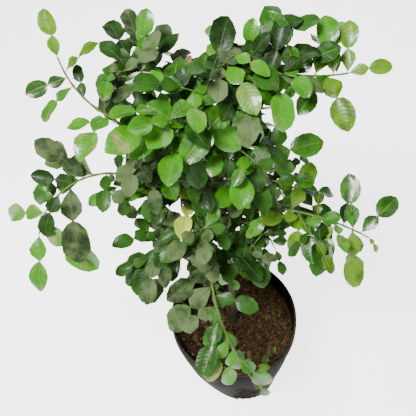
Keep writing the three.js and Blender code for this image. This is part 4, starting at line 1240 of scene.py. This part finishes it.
def torn_soil():
    """The soil that shows in the torn place: a crumbly shell that follows the foot and sinks at the
    ragged edge, closed behind."""
    top, (columns, rows) = TEAR_HEIGHT + TEAR_REACH * TEAR_TALL, TORN_STEPS
    across, h = np.meshgrid(np.linspace(-TEAR_REACH, TEAR_REACH, columns), np.linspace(0.8, top, rows))
    a = radians(TEAR_AZIMUTH) + radians(TEAR_WIDE) * across
    p = np.stack([a * 110, h], -1)
    clods = sum(value_noise(p, size, seed) for size, seed in TORN_CLODS)
    sunk = TEAR_DEEP / 2 + 8 * np.clip(tear_distance(a, h) - 1.02, 0, 0.4)
    curve = np.where(h < HEEL, HEEL - np.sqrt(np.clip(HEEL**2 - (HEEL - h) ** 2, 0, None)), 0)
    r = wall_radius(h) - curve - sunk + TORN_DEEP * clods
    return np.concatenate([sagged(r, a, h), sagged(r - TORN_WALL, a, h)[:, ::-1]], 1)


class LIME_OT_bag(bpy.types.Operator):
    """The grow bag of black film with its turned-down rim and torn foot"""

    bl_idname = "lime.bag"
    bl_label = "Grow bag"

    def execute(self, context):
        bag, soil = context.scene.lime_bag, context.scene.lime_soil
        film = film_material("black_film", bag.film, bag.dust)
        piece = make_piece("bag_film", *closed_rings(bag_wall(bag.crease)), [film], "grow_bag", sharp=60)
        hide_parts("grow_bag")
        # Soil seen through the torn place: the bed's colours darkened to a fifth and a tenth, painted shade
        # of the dark pocket in the dent
        crumbs = soil_material("soil_at_tear", shade(soil.dark, 0.2), shade(soil.brown, 0.1), soil.brown)
        make_piece("soil_in_tear", *closed_rings(torn_soil()), [crumbs], "soil")
        return {"FINISHED"}


SOIL_DEEP = 128.0
# Share, size in mm and seed of the smooth noises that make the clods
SOIL_NOISES = ((0.42, 21, 1), (0.36, 9, 2), (0.25, 3.6, 3))
CHIP = np.array([(1, 0, 0), (-1, 0, 0), (0, 1, 0), (0, -1, 0), (0.3, 0.25, 1), (-0.2, 0.1, -1)])
CHIP_FACES = np.array([
    (0, 2, 4), (2, 1, 4), (1, 3, 4), (3, 0, 4), (2, 0, 5), (1, 2, 5), (3, 1, 5), (0, 3, 5)
])
# Where chips lie from the middle to the wall, as a share of the area, and how they are stretched
CHIP_REACH, CHIP_GATHER, CHIP_SIZE, CHIP_UNEVEN, CHIP_LEAN = (0.012, 0.93), 75, (0.6, 1.3), (0.75, 1.2), 0.45
# Chips: piece, one in how many of them, sizes in mm, seed, how far to the right, and the two colours
CHIP_KINDS = (
    ("soil_lumps", 7, (4.0, 9.0), 10, 0.3, ("brown", 0.2), ("brown", 1.5)),
    ("soil_chips_dark", 2, (1.6, 4.6), 11, -0.8, ("dark", 0.7), ("brown", 0.4)),
    ("soil_chips_brown", 3, (1.4, 4.2), 12, 0.8, ("brown", 1), ("brown", 2.4)),
    ("soil_chips_pale", 14, (0.5, 1.5), 13, 0.0, ("light", 0.5), ("light", 1)),
)
# Fallen leaves: foot, azimuth, rise, length, roll and arch
FALLEN = np.array([(46, -94, 161, 52, 26, 54, -30, 70), (0, -92, 161, 14, 2, 44, 10, 24)], float)


def soil_relief(x, y, depth):
    """Clods: three sizes of smooth noise, and none right at the trunk's foot."""
    p = np.stack([x, y], -1)
    rough = sum(share * value_noise(p, size, seed) for share, size, seed in SOIL_NOISES)
    return depth * (rough - 0.5) * np.clip((np.hypot(x, y) - 9) / 10, 0.15, 1)


def soil_height(x, y, depth):
    """Height of the soil: level round the trunk, then falling to one side, and cloddy."""
    away = np.maximum(np.hypot(x, y) - SOIL_FLAT, 0)
    side = np.cos(np.arctan2(y, x) - radians(SOIL_FALL_AZIMUTH))
    level = SOIL_HEIGHT - SOIL_FALL * side * away / (RIM_RADIUS - SOIL_FLAT)
    return level + soil_relief(x, y, depth)


def wall_ring(angle, height, inset):
    """Points at a height inside the wall."""
    height = np.full_like(angle, height)
    return sagged(wall_radius(height) - inset, angle, height)


def soil_rings(depth):
    """The bed of soil: rings from its foot up to the wall and in to the trunk over the surface."""
    angle = around(200)
    shares = np.linspace(1, 0.012, 70)[:, None] ** 0.85
    x, y, _ = wall_ring(angle, SOIL_HEIGHT, SOIL_INSET).T
    x, y = shares * x, shares * y
    foot = wall_ring(angle, SOIL_DEEP, 3 * FILM)[None]
    return np.concatenate([foot * (0.2, 0.2, 1), foot, np.stack([x, y, soil_height(x, y, depth)], -1)])


def turned(a, b, angle):
    """Two coordinates (n, points) turned by an angle each (n)."""
    c, s = np.cos(angle)[:, None], np.sin(angle)[:, None]
    return a * c - b * s, a * s + b * c


def scatter(count, sizes, seed, depth, aside):
    """Chips: stretched eight-sided lumps turned at random and half sunk in the soil's surface. aside
    from -1 to 1 gathers them at the left or the right."""
    rng = np.random.default_rng(seed)
    angle, share = rng.uniform(0, 2 * pi, count), np.sqrt(rng.uniform(*CHIP_REACH, count))
    x, y, _ = wall_ring(angle, SOIL_HEIGHT, SOIL_INSET).T * share
    kept = rng.random(count) < 0.5 + aside * x / CHIP_GATHER
    x, y = x[kept], y[kept]
    count = len(x)
    scale = rng.uniform(*sizes, (count, 3)) * rng.uniform(*CHIP_SIZE, (count, 1))
    uneven = rng.uniform(*CHIP_UNEVEN, (count, len(CHIP), 1))
    a, b, h = np.moveaxis(CHIP * scale[:, None] * uneven, -1, 0)
    turn = rng.uniform(0, 2 * pi, count)
    a, h = turned(a, h, rng.normal(0, CHIP_LEAN, count))
    a, b = turned(a, b, turn)
    points = np.stack([a + x[:, None], b + y[:, None], h + soil_height(x, y, depth)[:, None]], -1)
    faces = (CHIP_FACES + (np.arange(count) * len(CHIP))[:, None, None]).reshape(-1, 3)
    return points.reshape(-1, 3), [faces]


class LIME_OT_soil(bpy.types.Operator):
    """The soil: a cloddy bed, loose chips and fibres, and fallen leaves on it"""

    bl_idname = "lime.soil"
    bl_label = "Soil"

    def execute(self, context):
        soil, tints = context.scene.lime_soil, context.scene.lime_leaves
        bed = soil_material("soil_bed", soil.dark, soil.brown, soil.light)
        piece = make_piece("soil_bed", *closed_rings(soil_rings(soil.roughness)), [bed], "soil")
        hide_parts("soil")
        for name, one_in, sizes, seed, aside, *colors in CHIP_KINDS:
            dark, light = (shade(getattr(soil, setting), share) for setting, share in colors)
            grain = plain_grain(name + "_finish", dark, light, 300.0, 0.75, 0.001, SOIL_SHINE)
            chips = scatter(soil.chips // one_in, sizes, seed, soil.roughness, aside)
            make_piece(name, *chips, [grain], "soil", sharp=20)
        deep, light, below = (0.025, 0.035, 0.012), (0.15, 0.19, 0.055), (0.28, 0.34, 0.08)
        top = leaf_top("leaf_fallen", deep, light, tints.rib, tints.dust, 0.55, 0.0, 0.3, 0.25, 0.0)
        under = leaf_under("leaf_fallen_underside", below)
        seeds = np.random.default_rng(3).random((len(FALLEN), 8))
        leaf_piece("fallen_leaves", FALLEN, seeds, 2 * tints.wave, 0, [top, under], "foliage_dusty")
        return {"FINISHED"}


# Floor, lights and camera

CAMERA_PLACE = (-0.04876, -0.34868, 1.04512)
LENS_SENSOR = 36.0
FLOOR_REACH, FLOOR_SIDES, WORLD_LIGHT = 40.0, 96, 0.27
LAMP_AIM = Vector((-0.05, 0.05, 0.35))
# Lamps: place, size and share of the soft light
LAMPS = {
    "large_lamp": ((-0.75, -0.45, 2.0), 0.6, 1.0), "front_lamp": ((1.3, -1.7, 1.5), 1.2, 0.22),
    "back_lamp": ((0.6, 1.9, 1.7), 1.2, 0.25),
}


class LIME_OT_stage(bpy.types.Operator):
    """Plain pale floor, large soft lamps and the camera"""

    bl_idname = "lime.stage"
    bl_label = "Stage"

    def execute(self, context):
        scene, stage = context.scene, context.scene.lime_stage
        mesh = bpy.data.meshes.new("floor")
        angle = around(FLOOR_SIDES)
        rim = np.column_stack([np.cos(angle), np.sin(angle), 0 * angle]) * FLOOR_REACH
        mesh.from_pydata(rim.tolist(), [], [tuple(range(FLOOR_SIDES))])
        mesh.materials.append(Shader(
            "floor", Base_Color=stage.floor, Roughness=0.9, Emission_Color=stage.floor,
            Emission_Strength=stage.glow,
        ).material)
        placed("floor", mesh)
        for name, (place, size, share) in LAMPS.items():
            data = bpy.data.lights.new(name, "AREA")
            data.shape, data.size, data.energy = "DISK", size, stage.light * share
            lamp = placed(name, data, place)
            lamp.rotation_euler = (LAMP_AIM - lamp.location).to_track_quat("-Z", "Y").to_euler()
        scene.world = scene.world or bpy.data.worlds.new("studio")
        scene.world.use_nodes = True
        background = scene.world.node_tree.nodes["Background"].inputs
        background["Color"].default_value = (1, 1, 1, 1)
        background["Strength"].default_value = WORLD_LIGHT
        camera = placed("camera", bpy.data.cameras.new("camera"), CAMERA_PLACE)
        camera.data.sensor_width, camera.data.lens = LENS_SENSOR, stage.focal_length
        camera.rotation_euler = (pi / 2 - stage.pitch, 0, 0)
        scene.camera = camera
        return {"FINISHED"}


class LIME_PT_panel(bpy.types.Panel):
    """Lists the pieces of the potted lime tree"""

    bl_idname = "LIME_PT_panel"
    bl_label = "Potted kaffir lime"
    bl_space_type = "VIEW_3D"
    bl_region_type = "UI"
    bl_category = "Kaffir lime"

    def draw(self, context):
        for settings, _, operators in PANEL_ROWS:
            group = getattr(context.scene, settings)
            box = self.layout.box()
            for name in group.__annotations__:
                box.prop(group, name)
            for operator in operators:
                box.operator(operator.bl_idname)


PANEL_ROWS = (
    ("lime_bark", LimeBark, (LIME_OT_bark, LIME_OT_twigs)),
    ("lime_leaves", LimeLeaves, (LIME_OT_leaves,)),
    ("lime_bag", LimeBag, (LIME_OT_bag,)),
    ("lime_soil", LimeSoil, (LIME_OT_soil,)),
    ("lime_stage", LimeStage, (LIME_OT_stage,)),
)
CLASSES = (*(kind for _, group, kinds in PANEL_ROWS for kind in (group, *kinds)), LIME_PT_panel)
CROWN = {}


def register():
    for kind in CLASSES:
        bpy.utils.register_class(kind)
    for name, group, _ in PANEL_ROWS:
        setattr(bpy.types.Scene, name, PointerProperty(type=group))


def unregister():
    for name, *_ in PANEL_ROWS:
        delattr(bpy.types.Scene, name)
    for kind in reversed(CLASSES):
        bpy.utils.unregister_class(kind)


def main():
    """Registers the add-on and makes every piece."""
    register()
    CROWN.update(grow_crown())
    bpy.ops.lime.bark()
    bpy.ops.lime.twigs()
    bpy.ops.lime.leaves()
    bpy.ops.lime.bag()
    bpy.ops.lime.soil()
    bpy.ops.lime.stage()


if __name__ == "__main__":
    main()
